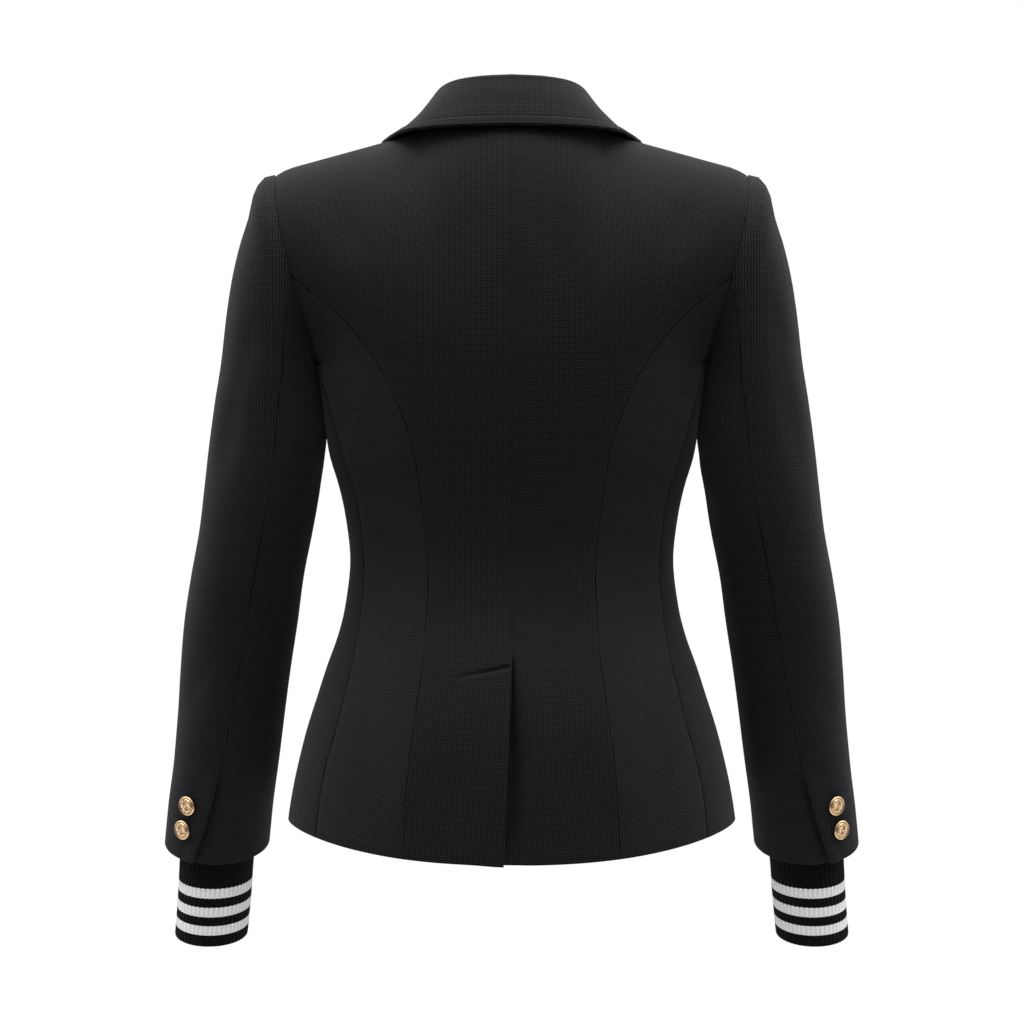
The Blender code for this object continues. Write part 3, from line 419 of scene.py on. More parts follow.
def body_normal(tau, v):
    """Outward normal, from differences that stay on this piece of the surface."""
    tau, v = np.broadcast_arrays(np.asarray(tau, float), np.asarray(v, float))
    at_top = v >= 2
    v = np.where((v >= 1) & (v < NORMAL_START), NORMAL_START, v)
    neck = at_top & (tau <= 1) & (body(tau, np.full_like(tau, 2.0))[..., 0] < NECK_HALF - 1)
    v = np.where(at_top, NEAR_TOP, v)
    d = 0.004
    low_tau, high_tau = tau - d, tau + d
    above = v > 1
    behind = above & (tau <= 1)
    before = above & (tau > 1)
    low_tau = np.where(behind, np.minimum(low_tau, 1 - 2 * d), low_tau)
    high_tau = np.where(behind, np.minimum(high_tau, 1.0), high_tau)
    low_tau = np.where(before, np.maximum(low_tau, 1 + 1e-9), low_tau)
    high_tau = np.where(before, np.maximum(high_tau, 1 + 2 * d), high_tau)
    low_v = np.where(v == 1, 1 - 2 * d, np.maximum(v - d, 0.0))
    high_v = np.minimum(v + d, np.where(above, NEAR_TOP, 1.0))
    low_v = np.where(above, np.minimum(low_v, NEAR_TOP - d), low_v)
    across = body(high_tau, v) - body(low_tau, v)
    along = body(tau, high_v) - body(tau, low_v)
    normal = unit(np.cross(across, along) * -1)
    shoulder = unit(np.array([SHOULDER_SLOPE, 0, 1.0]))
    return np.where((at_top & ~neck)[..., None], shoulder, normal)


def tau_at_seam(seam, v):
    """Where a seam of the back crosses the rows v."""
    def beyond(tau):
        x, z = as_seen(body(tau, v))
        return x - seam.at(z, "x")
    return solve(beyond, 0.0, 1.0, v)


def princess_tau(v):
    return np.minimum(tau_at_seam(PRINCESS_SEAM, v), 1 - SIDE_POINT)


def tau_at_x(x_of_z, v, high=FRONT_REACH):
    """Where the front reaches a given distance from the centre line."""
    def inside(tau):
        spot = body(tau, v)
        return x_of_z(spot[..., 2]) - spot[..., 0]
    return solve(inside, 1.0 + EPS, high, v)


def tau_beside(distance, v):
    """Where the back is a given distance from its middle."""
    return solve(lambda tau: body(tau, v)[..., 0] - distance, 0.0, 1.0, v)


def front_edge_tau(v):
    return tau_at_x(lambda z: FRONT_EDGE.at(z, "x"), v)


def chest(x, z):
    """tau and v of the front's point at x, z of a front view."""
    def tau_on(v):
        return solve(lambda tau: x - body(tau, v)[..., 0], 1.0 + EPS, 2.0, v)
    v = solve(lambda row: body(tau_on(row), row)[..., 2] - z, 1.0, 2.0, x)
    return tau_on(v), v


def on_chest(x, z, height):
    tau, v = chest(np.asarray(x, float), z)
    v = np.minimum(v, 1.985)
    return body(tau, v) + body_normal(tau, v) * height


def front_push(points, mirrored):
    """How far the left front lies under the right one near the centre."""
    if mirrored:
        return np.zeros(points.shape[:-1])
    return FRONT_TUCK * ramp(points[..., 0], 66.0, 21.0) * ramp(points[..., 2], -190.0, -240.0)


VENT_ROW = float(solve(lambda v: body(0.0, v)[..., 2] - VENT_TOP_Z, 0.0, 1.0))
PRINCESS_TOP = float(solve(lambda v: as_seen(body(1.0, v))[1] - PRINCESS_END_Z, 1.0, 1.9))


# ---------------------------------------------------------------- sleeve surface
def plain_ring(ring, turn):
    y = SLEEVE.at(ring, "y")
    inner = from_seen(SLEEVE.at(ring, "inner_x"), SLEEVE.at(ring, "inner_z"), y)
    outer = from_seen(SLEEVE.at(ring, "outer_x"), SLEEVE.at(ring, "outer_z"), y)
    middle, reach = (inner + outer) / 2, (outer - inner) / 2
    across = unit(reach)
    down = point(across[..., 2], 0 * y, -across[..., 0])
    pitch = np.radians(SLEEVE.at(ring, "pitch"))[..., None]
    angle = np.radians(turn)[..., None]
    backward = np.cos(pitch) * np.array([0, 1, 0]) + np.sin(pitch) * down
    depth = SLEEVE.at(ring, "half_depth")[..., None]
    return middle - np.cos(angle) * reach + np.sin(angle) * depth * backward


def sleeve(ring, turn):
    """A point of the left sleeve; turn 0 is next to the body, 90 the back."""
    ring, turn = np.broadcast_arrays(np.asarray(ring, float), np.asarray(turn, float))
    at_seam = armhole(turn) + np.array([SEAM_GAP, 0, 0])
    pull = ramp(ring, SLEEVE_HEAD_RINGS, 0.0)[..., None]
    return plain_ring(ring, turn) + (at_seam - plain_ring(0 * ring, turn)) * pull


def sleeve_normal(ring, turn):
    ring, turn = np.broadcast_arrays(np.asarray(ring, float), np.asarray(turn, float))
    d = 0.02
    along = sleeve(np.minimum(ring + d, SLEEVE_END), turn) - sleeve(np.maximum(ring - d, 0.0), turn)
    across = sleeve(ring, turn + 0.5) - sleeve(ring, turn - 0.5)
    return unit(np.cross(along, across) * -1)


def sleeve_crease(ring, turn, side, strength):
    depth = 0.0 * ring
    for at_ring, at_turn, rings, degrees, lean, deep in SLEEVE_CREASES[side]:
        along = (ring - at_ring) / rings
        across = ((turn - at_turn - lean * along + 180) % 360 - 180) / degrees
        depth = depth + deep * np.exp(-(along**2) * 2 - across**2)
    return depth * strength


def body_crease(points, side, strength):
    depth = np.zeros(points.shape[:-1])
    seen_x, seen_z = points[..., 0], points[..., 2]
    for face, sign in (("back", 1.0), ("front", -1.0)):
        share = ramp(points[..., 1] * sign, -6.0, 14.0)
        edge = np.exp(-(((seen_x - ARMHOLE.at(seen_z, f"{face}_x")) / ARMHOLE_FADE) ** 2))
        share = share * (1 - edge * ramp(seen_z, UNDERARM_Z - 14, UNDERARM_Z + 4))
        for x0, z0, x1, z1, width, deep in BODY_CREASES[side, face]:
            run = np.array([x1 - x0, z1 - z0], float)
            long = np.linalg.norm(run)
            part = ((seen_x - x0) * run[0] + (seen_z - z0) * run[1]) / long**2
            away = ((seen_x - x0) * run[1] - (seen_z - z0) * run[0]) / long
            fade = np.exp(-(np.clip(np.abs(part - 0.5) * 2, 0, 9) ** 2) * 1.6)
            if width < 3:
                fade = ramp(part, -0.03, 0.02) * ramp(part, 1.0, 0.2)
            depth += share * deep * fade * np.exp(-((away / width) ** 2))
    return depth * strength


# ---------------------------------------------------------------- shells
ROLL = np.array([0.0, 0.076, 0.293, 0.617, 1.0])     # a quarter round: how far in from the edge
ROLL_DIP = ROLL[::-1]                                # and how far below the surface


def spread_columns(surface, first, last, v, count, roll):
    """Column parameters an even distance apart, with the lines of a rolled edge at both ends."""
    part = np.linspace(0, 1, 121)
    dense = first[:, None] + (last - first)[:, None] * part
    points = surface(dense, v[:, None] + 0 * dense)
    steps = np.linalg.norm(np.diff(points, axis=1), axis=-1)
    run = np.concatenate([np.zeros((len(v), 1)), np.cumsum(steps, 1)], 1)
    out = []
    for j, width in enumerate(run[:, -1]):
        edge = min(roll, 0.2 * width) * ROLL
        middle = np.linspace(edge[-1], width - edge[-1], count + 1)[1:-1]
        wanted = np.concatenate([edge, middle, width - edge[::-1]])
        out.append(np.interp(wanted, run[j], dense[j]))
    return np.array(out)


def roll_dips(shape, roll):
    """How far a grid's first and last columns lie below the surface."""
    dips = np.zeros(shape)
    dips[:, :5] = roll * ROLL_DIP
    dips[:, -5:] = roll * ROLL_DIP[::-1]
    return dips


def grid_lengths(points):
    """Distances along the rows and along the columns of a grid, in millimetres."""
    across = np.linalg.norm(np.diff(points, axis=1), axis=-1)
    along = np.linalg.norm(np.diff(points, axis=0), axis=-1)
    u = np.concatenate([np.zeros((len(points), 1)), np.cumsum(across, 1)], 1)
    v = np.concatenate([np.zeros((1, points.shape[1])), np.cumsum(along, 0)], 0)
    return u, v


def cloth_uv(points, grain_column):
    """Thread coordinates in metres, square to the grain line of the piece."""
    u, v = grid_lengths(points)
    u = u - u[:, grain_column][:, None]
    v = np.repeat(v[:, grain_column][:, None], points.shape[1], 1)
    return np.stack([u, v], -1) * MM


def shell(name, outer, inner, uv, material, mirrored=False, closed=False, present=None):
    """A closed wall between two grids of points, as a smooth object with its thread map."""
    rows, columns = outer.shape[:2]
    across = columns if closed else columns - 1
    there = np.ones((rows - 1, across), bool) if present is None else present
    verts = np.concatenate([outer.reshape(-1, 3), inner.reshape(-1, 3)]) * MM
    if mirrored:
        verts = verts * np.array([-1, 1, 1])
    count = rows * columns

    def at(layer, j, i):
        return layer * count + j * columns + i % columns

    faces = []
    for j in range(rows - 1):
        for i in range(across):
            if not there[j, i]:
                continue
            corners = ((j, i), (j, i + 1), (j + 1, i + 1), (j + 1, i))
            faces.append([at(0, *c) for c in corners])
            faces.append([at(1, *c) for c in reversed(corners)])
            left, right = i - 1, i + 1
            if closed:
                left, right = left % across, right % across
            if j == 0 or not there[j - 1, i]:
                faces.append([at(0, j, i + 1), at(0, j, i), at(1, j, i), at(1, j, i + 1)])
            if j == rows - 2 or not there[j + 1, i]:
                faces.append([at(0, j + 1, i), at(0, j + 1, i + 1),
                              at(1, j + 1, i + 1), at(1, j + 1, i)])
            if left < 0 or not there[j, left]:
                faces.append([at(0, j, i), at(0, j + 1, i), at(1, j + 1, i), at(1, j, i)])
            if right >= across and not closed or not closed and not there[j, right]:
                faces.append([at(0, j + 1, i + 1), at(0, j, i + 1),
                              at(1, j, i + 1), at(1, j + 1, i + 1)])
    used = np.unique(np.concatenate(faces))
    renumber = np.zeros(2 * count, int)
    renumber[used] = np.arange(len(used))
    faces = [[int(renumber[k]) for k in face] for face in faces]
    both = np.concatenate([uv.reshape(-1, 2), uv.reshape(-1, 2)])[used]
    return cloth_object(name, verts[used], faces, both, material)


def cloth_object(name, verts, faces, uv, material):
    mesh = bpy.data.meshes.new(name)
    mesh.from_pydata(verts.tolist(), [], faces)
    bm = bmesh.new()
    bm.from_mesh(mesh)
    bmesh.ops.recalc_face_normals(bm, faces=bm.faces)
    bm.to_mesh(mesh)
    bm.free()
    corner = np.empty(len(mesh.loops), int)
    mesh.loops.foreach_get("vertex_index", corner)
    layer = mesh.uv_layers.new(name="threads")
    layer.data.foreach_set("uv", uv[corner].astype(np.float32).ravel())
    mesh.shade_smooth()
    mesh.set_sharp_from_angle(angle=math.radians(60))
    mesh.materials.append(material)
    piece = bpy.data.objects.new(name, mesh)
    bpy.context.scene.collection.objects.link(piece)
    return piece


def body_rows(top, roll, extra=()):
    """Row parameters from the hem up, a few millimetres apart, with rolled ends."""
    hem = roll * ROLL / HEM_TO_UNDERARM
    rows = [hem, np.linspace(hem[-1], 1.0, 62)[1:]]
    if top >= 2:
        end = top - roll * ROLL[::-1] / UNDERARM_TO_TOP
        rows += [np.linspace(1.0, end[0], 48)[1:-1], end]
    else:
        rows.append(np.linspace(1.0, top, int((top - 1) * 48) + 3)[1:])
    rows += [np.asarray(line, float) for line in extra]
    return np.unique(np.round(np.concatenate(rows), 7))


class BodyPanel:
    """A panel of the body: a grid on its surface with creases, before it gets its wall."""

    def __init__(self, rows, taus, mirrored, settings, push=None):
        self.rows, self.mirrored = rows, mirrored
        self.v = rows[:, None] + 0 * taus
        self.normals = body_normal(taus, self.v)
        base = body(taus, self.v)
        side = "right" if mirrored else "left"
        inward = body_crease(base, side, settings.crease_strength)
        if push is not None:
            inward = inward + push(base, self.v)
        self.points = base - self.normals * inward[..., None]
        self.roll = settings.seam_roll
        self.dip = roll_dips(taus.shape, self.roll)
        self.rise = np.zeros(taus.shape)
        self.shut = np.zeros(self.points.shape)

    def roll_hem(self):
        turned = (self.roll * ROLL_DIP)[:, None]
        self.dip[:5] = np.maximum(self.dip[:5], turned)
        self.rise[:5] = np.maximum(self.rise[:5], turned)

    def roll_top(self):
        self.dip[-5:] = np.maximum(self.dip[-5:], (self.roll * ROLL_DIP[::-1])[:, None])

    def free_edge(self, column, keep):
        """Rounds the wall's inside too, where an edge is free."""
        columns = slice(0, 5) if column == 0 else slice(-5, None)
        self.rise[keep, columns] = np.maximum(self.rise[keep, columns], self.dip[keep, columns])

    def part_seam(self, keep, columns, aside):
        """Draws an edge and its rolled lines back on the outside and closes them behind."""
        for c in columns:
            self.points[keep, c] += (aside * SEAM_LINE / 2)[keep]
            self.shut[keep, c] -= (aside * (SEAM_LINE / 2 + SEAM_LAP))[keep]

    def draw_back(self, column, sign, keep):
        """Parts the seam along an edge of the panel."""
        edge = self.points[:, column]
        side = unit(np.cross(unit(np.gradient(edge, axis=0)), self.normals[:, column]))
        self.part_seam(keep, range(5) if column == 0 else range(-5, 0), side * sign)

    def open_shoulder(self, sign):
        """Parts the seam at the shoulder, where front and back meet."""
        wide = self.points[-1][:, 0] >= NECK_HALF - 1
        for j in range(-5, 0):
            self.points[j][wide, 1] += sign * SEAM_LINE / 2
            self.shut[j][wide, 1] -= sign * (SEAM_LINE / 2 + SEAM_LAP)

    def build(self, name, grain, material, present=None):
        dip, rise = (np.minimum(turned, CLOTH * 0.48) for turned in (self.dip, self.rise))
        outer = self.points - self.normals * dip[..., None]
        inner = self.points - self.normals * (CLOTH - rise)[..., None] + self.shut
        return shell(name, outer, inner, cloth_uv(self.points, grain), material,
                     self.mirrored, present=present)


# ---------------------------------------------------------------- materials
def link(tree, source, target):
    tree.links.new(source, target)


def math_node(tree, operation, first, second=None, third=None):
    node = tree.nodes.new("ShaderNodeMath")
    node.operation = operation
    for k, value in enumerate((first, second, third)):
        if value is None:
            continue
        if isinstance(value, (int, float)):
            node.inputs[k].default_value = value
        else:
            link(tree, value, node.inputs[k])
    return node.outputs[0]


def fill(node, values):
    """Sets inputs of a node; a colour is given by its red, green and blue."""
    for label, value in values.items():
        colour = isinstance(value, tuple) and len(value) == 3
        node.inputs[label].default_value = (*value, 1.0) if colour else value


def noise(tree, scale, detail, place):
    node = tree.nodes.new("ShaderNodeTexNoise")
    fill(node, {"Scale": scale, "Detail": detail})
    link(tree, place, node.inputs["Vector"])
    return node.outputs["Fac"]


def scaled(tree, vector, factor):
    node = tree.nodes.new("ShaderNodeVectorMath")
    node.operation = "SCALE"
    link(tree, vector, node.inputs[0])
    link(tree, factor, node.inputs["Scale"])
    return node.outputs[0]


def blended(tree, factor, dark, light):
    """A colour between two, by a factor."""
    node = tree.nodes.new("ShaderNodeMix")
    node.data_type = "RGBA"
    link(tree, factor, node.inputs["Factor"])
    fill(node, {"A": tuple(dark), "B": tuple(light)})
    return node.outputs["Result"]


def bumped(tree, height, strength, distance, shader):
    node = tree.nodes.new("ShaderNodeBump")
    fill(node, {"Strength": strength, "Distance": distance})
    link(tree, height, node.inputs["Height"])
    link(tree, node.outputs[0], shader.inputs["Normal"])


def uv_map(tree, name):
    node = tree.nodes.new("ShaderNodeUVMap")
    node.uv_map = name
    return node.outputs[0]


def split_up(tree, vector):
    node = tree.nodes.new("ShaderNodeSeparateXYZ")
    link(tree, vector, node.inputs[0])
    return node.outputs


def new_material(name):
    material = bpy.data.materials.new(name)
    material.use_nodes = True
    return material, material.node_tree, material.node_tree.nodes["Principled BSDF"]


def shared(name, make, *given):
    """The material of that name, made when it is first asked for."""
    return bpy.data.materials.get(name) or make(*given)


def weave_group():
    """Hopsack: raised knots in rows and columns, a faint twill line and uneven threads, with painted
    shade in the gaps and painted light on the knots.
    """
    if "hopsack_weave" in bpy.data.node_groups:
        return bpy.data.node_groups["hopsack_weave"]
    group = bpy.data.node_groups.new("hopsack_weave", "ShaderNodeTree")
    for label, kind, way in (("Thread Map", "Vector", "INPUT"), ("Pitch", "Float", "INPUT"),
                             ("Twill", "Float", "INPUT"), ("Colour", "Color", "INPUT"),
                             ("Contrast", "Float", "INPUT"), ("Colour", "Color", "OUTPUT"),
                             ("Height", "Float", "OUTPUT"), ("Roughness", "Float", "OUTPUT")):
        group.interface.new_socket(label, in_out=way, socket_type=f"NodeSocket{kind}")
    given = group.nodes.new("NodeGroupInput").outputs
    out = group.nodes.new("NodeGroupOutput").inputs
    split = split_up(group, given["Thread Map"])
    turn = math_node(group, "DIVIDE", 2 * math.pi, given["Pitch"])
    across = math_node(group, "MULTIPLY", split["X"], turn)
    along = math_node(group, "MULTIPLY", split["Y"], turn)
    uneven = noise(group, 900.0, 1.0, given["Thread Map"])
    knots = math_node(group, "ADD", math_node(group, "COSINE", across),
                      math_node(group, "COSINE", along))
    diagonal = math_node(group, "COSINE", math_node(group, "ADD", across, along))
    relief = math_node(group, "MULTIPLY_ADD", diagonal, given["Twill"], knots)
    relief = math_node(group, "MULTIPLY_ADD", uneven, 0.9, relief)
    height = math_node(group, "MULTIPLY_ADD", relief, 0.2, 0.42)
    # painted shade: the colour is darker where the weave lies low and lighter on its knots and twill
    # line; the broad noise below varies the tone at random
    shade = math_node(group, "MULTIPLY_ADD", math_node(group, "SUBTRACT", height, 0.5),
                      given["Contrast"], 1.0)
    broad = noise(group, 18.0, 3.0, given["Thread Map"])
    shade = math_node(group, "MULTIPLY", shade, math_node(group, "MULTIPLY_ADD", broad, 0.24, 0.88))
    link(group, scaled(group, given["Colour"], math_node(group, "MAXIMUM", shade, 0.05)),
         out["Colour"])
    link(group, height, out["Height"])
    link(group, math_node(group, "MULTIPLY_ADD", uneven, 0.12, 0.78), out["Roughness"])
    return group


def cloth_material(name, settings, twill=0.4):
    material, tree, shader = new_material(name)
    weave = tree.nodes.new("ShaderNodeGroup")
    weave.node_tree = weave_group()
    # the weave's colour carries painted shade in its gaps and painted light on its knots
    fill(weave, {"Pitch": settings.weave_pitch, "Twill": twill,
                 "Colour": tuple(settings.cloth_colour), "Contrast": settings.weave_painted_shade})
    link(tree, uv_map(tree, "threads"), weave.inputs["Thread Map"])
    bumped(tree, weave.outputs["Height"], 0.55, 0.0005, shader)
    link(tree, weave.outputs["Colour"], shader.inputs["Base Color"])
    link(tree, weave.outputs["Roughness"], shader.inputs["Roughness"])
    fill(shader, {"Specular IOR Level": 0.08, "Sheen Weight": 0.06, "Sheen Roughness": 0.45,
                  "Sheen Tint": (0.85, 0.87, 0.95)})
    return material


def plain_cloth():
    return shared("wool_hopsack", cloth_material, "wool_hopsack", bpy.context.scene.blazer_cloth)


def twilled_cloth():
    name = "wool_hopsack_twilled"
    return shared(name, cloth_material, name, bpy.context.scene.blazer_cloth, 2.0)


def knit_material(settings):
    """Ribbed knit with its V stitches; the stripes are knitted in white yarn, and painted shade darkens
    the grooves between ribs and stitches.
    """
    material, tree, shader = new_material("striped_rib_knit")
    split = split_up(tree, uv_map(tree, "threads"))
    ribs = math_node(tree, "MULTIPLY", split["X"], float(settings.rib_count))
    rib = math_node(tree, "PINGPONG", ribs, 0.5)
    lean = math_node(tree, "MULTIPLY", rib, 0.0018)
    course = math_node(tree, "MULTIPLY", math_node(tree, "ADD", split["Y"], lean),
                       2 * math.pi / settings.stitch_length)
    stitch = math_node(tree, "MULTIPLY_ADD", math_node(tree, "SINE", course), 0.5, 0.5)
    leaned = math_node(tree, "MULTIPLY_ADD", rib, 0.0003, split["Y"])
    wobble = math_node(tree, "MULTIPLY_ADD", stitch, 0.0003, leaned)
    white = None
    for low, high in STRIPES:
        inside = math_node(tree, "MULTIPLY",
                           math_node(tree, "GREATER_THAN", wobble, (low + 0.2) * MM),
                           math_node(tree, "LESS_THAN", wobble, (high + 0.2) * MM))
        white = inside if white is None else math_node(tree, "MAXIMUM", white, inside)
    yarn = blended(tree, white, settings.knit_colour, settings.stripe_colour)
    # painted shade: the yarn's colour is darker in the grooves between the ribs and between the
    # stitches
    groove = math_node(tree, "MULTIPLY_ADD", rib, -0.5, 1.05)
    tone = math_node(tree, "MULTIPLY", groove, math_node(tree, "MULTIPLY_ADD", stitch, 0.22, 0.82))
    link(tree, scaled(tree, yarn, tone), shader.inputs["Base Color"])
    bumped(tree, stitch, 0.5, 0.0006, shader)
    fill(shader, {"Roughness": 0.85, "Specular IOR Level": 0.05, "Sheen Weight": 0.03,
                  "Sheen Roughness": 0.5})
    return material


def knit(settings):
    return shared("striped_rib_knit", knit_material, settings)


def gold_material(settings):
    """Cast gold-tone metal: polished high spots, darker hollows, fine pitting."""
    material, tree, shader = new_material("gold_tone_metal")
    grain = noise(tree, 520.0, 3.0, tree.nodes.new("ShaderNodeTexCoord").outputs["Object"])
    relief = split_up(tree, uv_map(tree, "relief"))["X"]
    level = math_node(tree, "MULTIPLY_ADD", grain, 0.25,
                      math_node(tree, "MULTIPLY_ADD", relief, 0.75, 0.1))
    gold = settings.gold_colour
    hollows = (gold[0] * 0.25, gold[1] * 0.17, gold[2] * 0.10)
    link(tree, blended(tree, level, hollows, gold), shader.inputs["Base Color"])
    bumped(tree, grain, 0.25, 0.0003, shader)
    link(tree, math_node(tree, "MULTIPLY_ADD", level, -0.18, 0.42), shader.inputs["Roughness"])
    fill(shader, {"Metallic": 1.0})
    return material


def declare(piece, node):
    """Hides the solid a cloth piece stands for and hangs the piece on the root."""
    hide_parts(node)
    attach(piece, "root")
    return piece


def make_back(side, settings):
    """A centre back: the left laps over at the vent, the right carries the underlap."""
    mirrored = side == "right"
    fold = np.linspace(VENT_ROW - 0.035, VENT_ROW + 0.012, 40)
    rows = body_rows(2.0, settings.seam_roll, [[VENT_ROW], fold])
    last = np.where(rows <= PRINCESS_TOP, princess_tau(rows), 1.0)
    spread = VENT_SPREAD * np.maximum(VENT_ROW - rows, 0.0) / VENT_ROW
    first = 0 * rows if mirrored else np.where(rows < VENT_ROW, tau_beside(spread, rows), 0.0)
    taus = spread_columns(body, first, last, rows, 30, settings.seam_roll)
    lap = 0
    if mirrored:
        across = np.concatenate([VENT_UNDERLAP - settings.seam_roll * ROLL,
                                 [26, 19, 13, 8, 4, 1.5]])
        lap = len(across)
        under = np.stack([-tau_beside(x, rows) for x in across], 1)
        taus = np.concatenate([under, taus], 1)

    def vent_push(points, v):
        down = np.clip((VENT_ROW - v) / VENT_ROW, 0, 1)
        depth = VENT_TUCK + down + VENT_DROP * np.sin(math.pi * down**0.8)
        reach = VENT_FOLD_TOP + VENT_FOLD_GROWTH * np.minimum(down * 2.2, 1.0)
        return depth * ramp(v, VENT_ROW + 0.02, VENT_ROW) * (1 - ramp(points[..., 0], 0.0, reach))

    panel = BodyPanel(rows, taus, mirrored, settings, vent_push if mirrored else None)
    if not mirrored:
        from_edge = (spread[:, None] - panel.points[..., 0]) / VENT_CORNER_WIDTH
        corner = np.exp(-(from_edge ** 2)) * ramp(rows, 0.07, 0.0)[:, None]
        panel.points[..., 2] -= VENT_CORNER_DROP * corner
    above = rows >= VENT_ROW - 1e-6
    below = ~above
    seam_columns = slice(lap, lap + 5)
    if mirrored:
        panel.dip[:, seam_columns] = np.where(above[:, None], panel.roll * ROLL_DIP, 0.0)
    panel.part_seam(above, range(lap, lap + 5), np.array([[1.0, 0.0, 0.0]]) + 0 * rows[:, None])
    panel.free_edge(0, below)
    panel.draw_back(-1, 1, rows <= PRINCESS_TOP)
    panel.open_shoulder(1)
    panel.roll_hem()
    panel.roll_top()
    present = None
    if mirrored:
        present = np.ones((len(rows) - 1, taus.shape[1] - 1), bool)
        present[above[:-1], :lap] = False
    piece = panel.build(f"cloth_back_{side}", lap, plain_cloth(), present)
    return declare(piece, f"back_{side}")


def make_side_back(side, settings):
    mirrored = side == "right"
    rows = body_rows(PRINCESS_TOP, settings.seam_roll)
    last = np.where(rows < 1, tau_at_seam(SIDE_SEAM, np.minimum(rows, 1.0)), 1.0)
    taus = spread_columns(body, princess_tau(rows), last, rows, 14, settings.seam_roll)
    panel = BodyPanel(rows, taus, mirrored, settings)
    panel.draw_back(0, -1, rows > -1)
    panel.draw_back(-1, 1, rows <= 1)
    panel.roll_hem()
    piece = panel.build(f"cloth_side_back_{side}", 9, twilled_cloth())
    return declare(piece, f"side_back_{side}")


def make_front(side, settings):
    mirrored = side == "right"
    rows = body_rows(2.0, settings.seam_roll)
    first = np.where(rows < 1, tau_at_seam(SIDE_SEAM, np.minimum(rows, 1.0)), 1.0 + EPS)
    taus = spread_columns(body, first, front_edge_tau(rows), rows, 36, settings.seam_roll)
    panel = BodyPanel(rows, taus, mirrored, settings,
                      lambda points, v: front_push(points, mirrored))
    panel.draw_back(0, -1, rows <= 1)
    panel.open_shoulder(-1)
    panel.free_edge(-1, rows > -1)
    panel.roll_hem()
    panel.roll_top()
    piece = panel.build(f"cloth_front_{side}", 24, plain_cloth())
    return declare(piece, f"front_{side}")


def make_lapel(side, settings):
    """A lapel that rolls round the front's edge and lies back on the chest."""
    mirrored = side == "right"
    rows, columns = 60, 24
    bottom = float(solve(lambda v: body(2.0, v)[..., 2] - (BREAK_Z + 6), 0.0, 1.0))
    tip_x = float(LAPEL_EDGE.at(LAPEL_POINT_Z, "x"))
    corners = [LAPEL_NECK, LAPEL_NOTCH, (tip_x, LAPEL_POINT_Z)]
    q = np.linspace(0, 1, columns + 1)
    edge_steps = settings.seam_roll * ROLL / (tip_x - LAPEL_NECK[0])
    q = np.concatenate([q[:-1], 1 - edge_steps[::-1]])
    q = np.unique(np.round(q, 6))
    x = LAPEL_NECK[0] + (tip_x - LAPEL_NECK[0]) * q
    z = np.interp(x, [c[0] for c in corners], [c[1] for c in corners])
    top_v = chest(x, z)[1]
    part = np.unique(np.round(np.concatenate([np.linspace(0, 1, rows + 1),
                                              settings.seam_roll * ROLL / 210.0,
                                              1 - settings.seam_roll * ROLL / 210.0]), 6))
    v = bottom + (top_v - bottom)[None] * part[:, None]
    first = front_edge_tau(v)
    edge = np.minimum(tau_at_x(lambda z: LAPEL_EDGE.at(z, "x"), v), first - 0.02)
    tau = first + (edge - first) * q
    base, normal = body(tau, v), body_normal(tau, v)
    base = base - normal * (front_push(base, mirrored)
                            + body_crease(base, side, settings.crease_strength))[..., None]
    rise = base[..., 2] - base[:1, :, 2]
    up = rise / rise[-1:]
    lift = 1.0 + 2.0 * np.exp(-q / 0.2) * ramp(up, 0.35, 0.7)
    belly = settings.lapel_belly * np.sin(math.pi * np.clip(q, 0, 1)) ** 1.5 * ramp(up, 0.15, 0.6)
    height = lift + LAPEL_WALL / 2 + belly * (1 - 0.6 * up)
    outward = unit(base[:, 0] - base[:, 1])
    middle = base + normal * height[..., None]
    under = -CLOTH - 0.7 - LAPEL_WALL / 2
    radius = (height[:, 0] - under) / 2
    hub = base[:, 0] + normal[:, 0] * ((height[:, 0] + under) / 2)[:, None]
    wrap = []
    for distance in (9.0, 6.0, 3.0):
        wrap.append(base[:, 0] + normal[:, 0] * under - outward * distance)
    for angle in np.radians(np.linspace(-90, 78, 12)):
        around = math.cos(angle) * outward + math.sin(angle) * normal[:, 0]
        wrap.append(hub + radius[:, None] * around)
    middle = np.concatenate([np.stack(wrap, 1), middle], 1)
    normals = grid_normals(middle, normal[:, -1:])
    outer, inner = thickened(middle, normals, LAPEL_WALL, 1.05)
    piece = shell(f"cloth_lapel_{side}", outer, inner, cloth_uv(middle, 20), plain_cloth(),
                  mirrored)
    return declare(piece, f"lapel_{side}")


def grid_normals(grid, facing):
    """Normals of a grid, on the side that faces the given way at its last column."""
    along, across = np.gradient(grid, axis=0), np.gradient(grid, axis=1)
    normals = unit(np.cross(across, along))
    return -normals if (normals[:, -1:] * facing).sum() < 0 else normals


def thickened(middle, normals, wall, turned, proud=0.0):
    """The two faces of a free piece of cloth, its four edges rounded over.

    turned is how far in from an edge the round starts, as a share of half the wall."""
    u, v = grid_lengths(middle)
    ends = np.minimum.reduce([u, u[:, -1:] - u, v, v[-1:] - v])
    half = wall / 2
    inside = np.clip(ends / (half * turned), 0, 1)
    full = half * np.sqrt(np.maximum(1 - (1 - inside) ** 2, 0.0025))
    outer = middle + normals * (full + proud * full / half)[..., None]
    return outer, middle - normals * full[..., None]


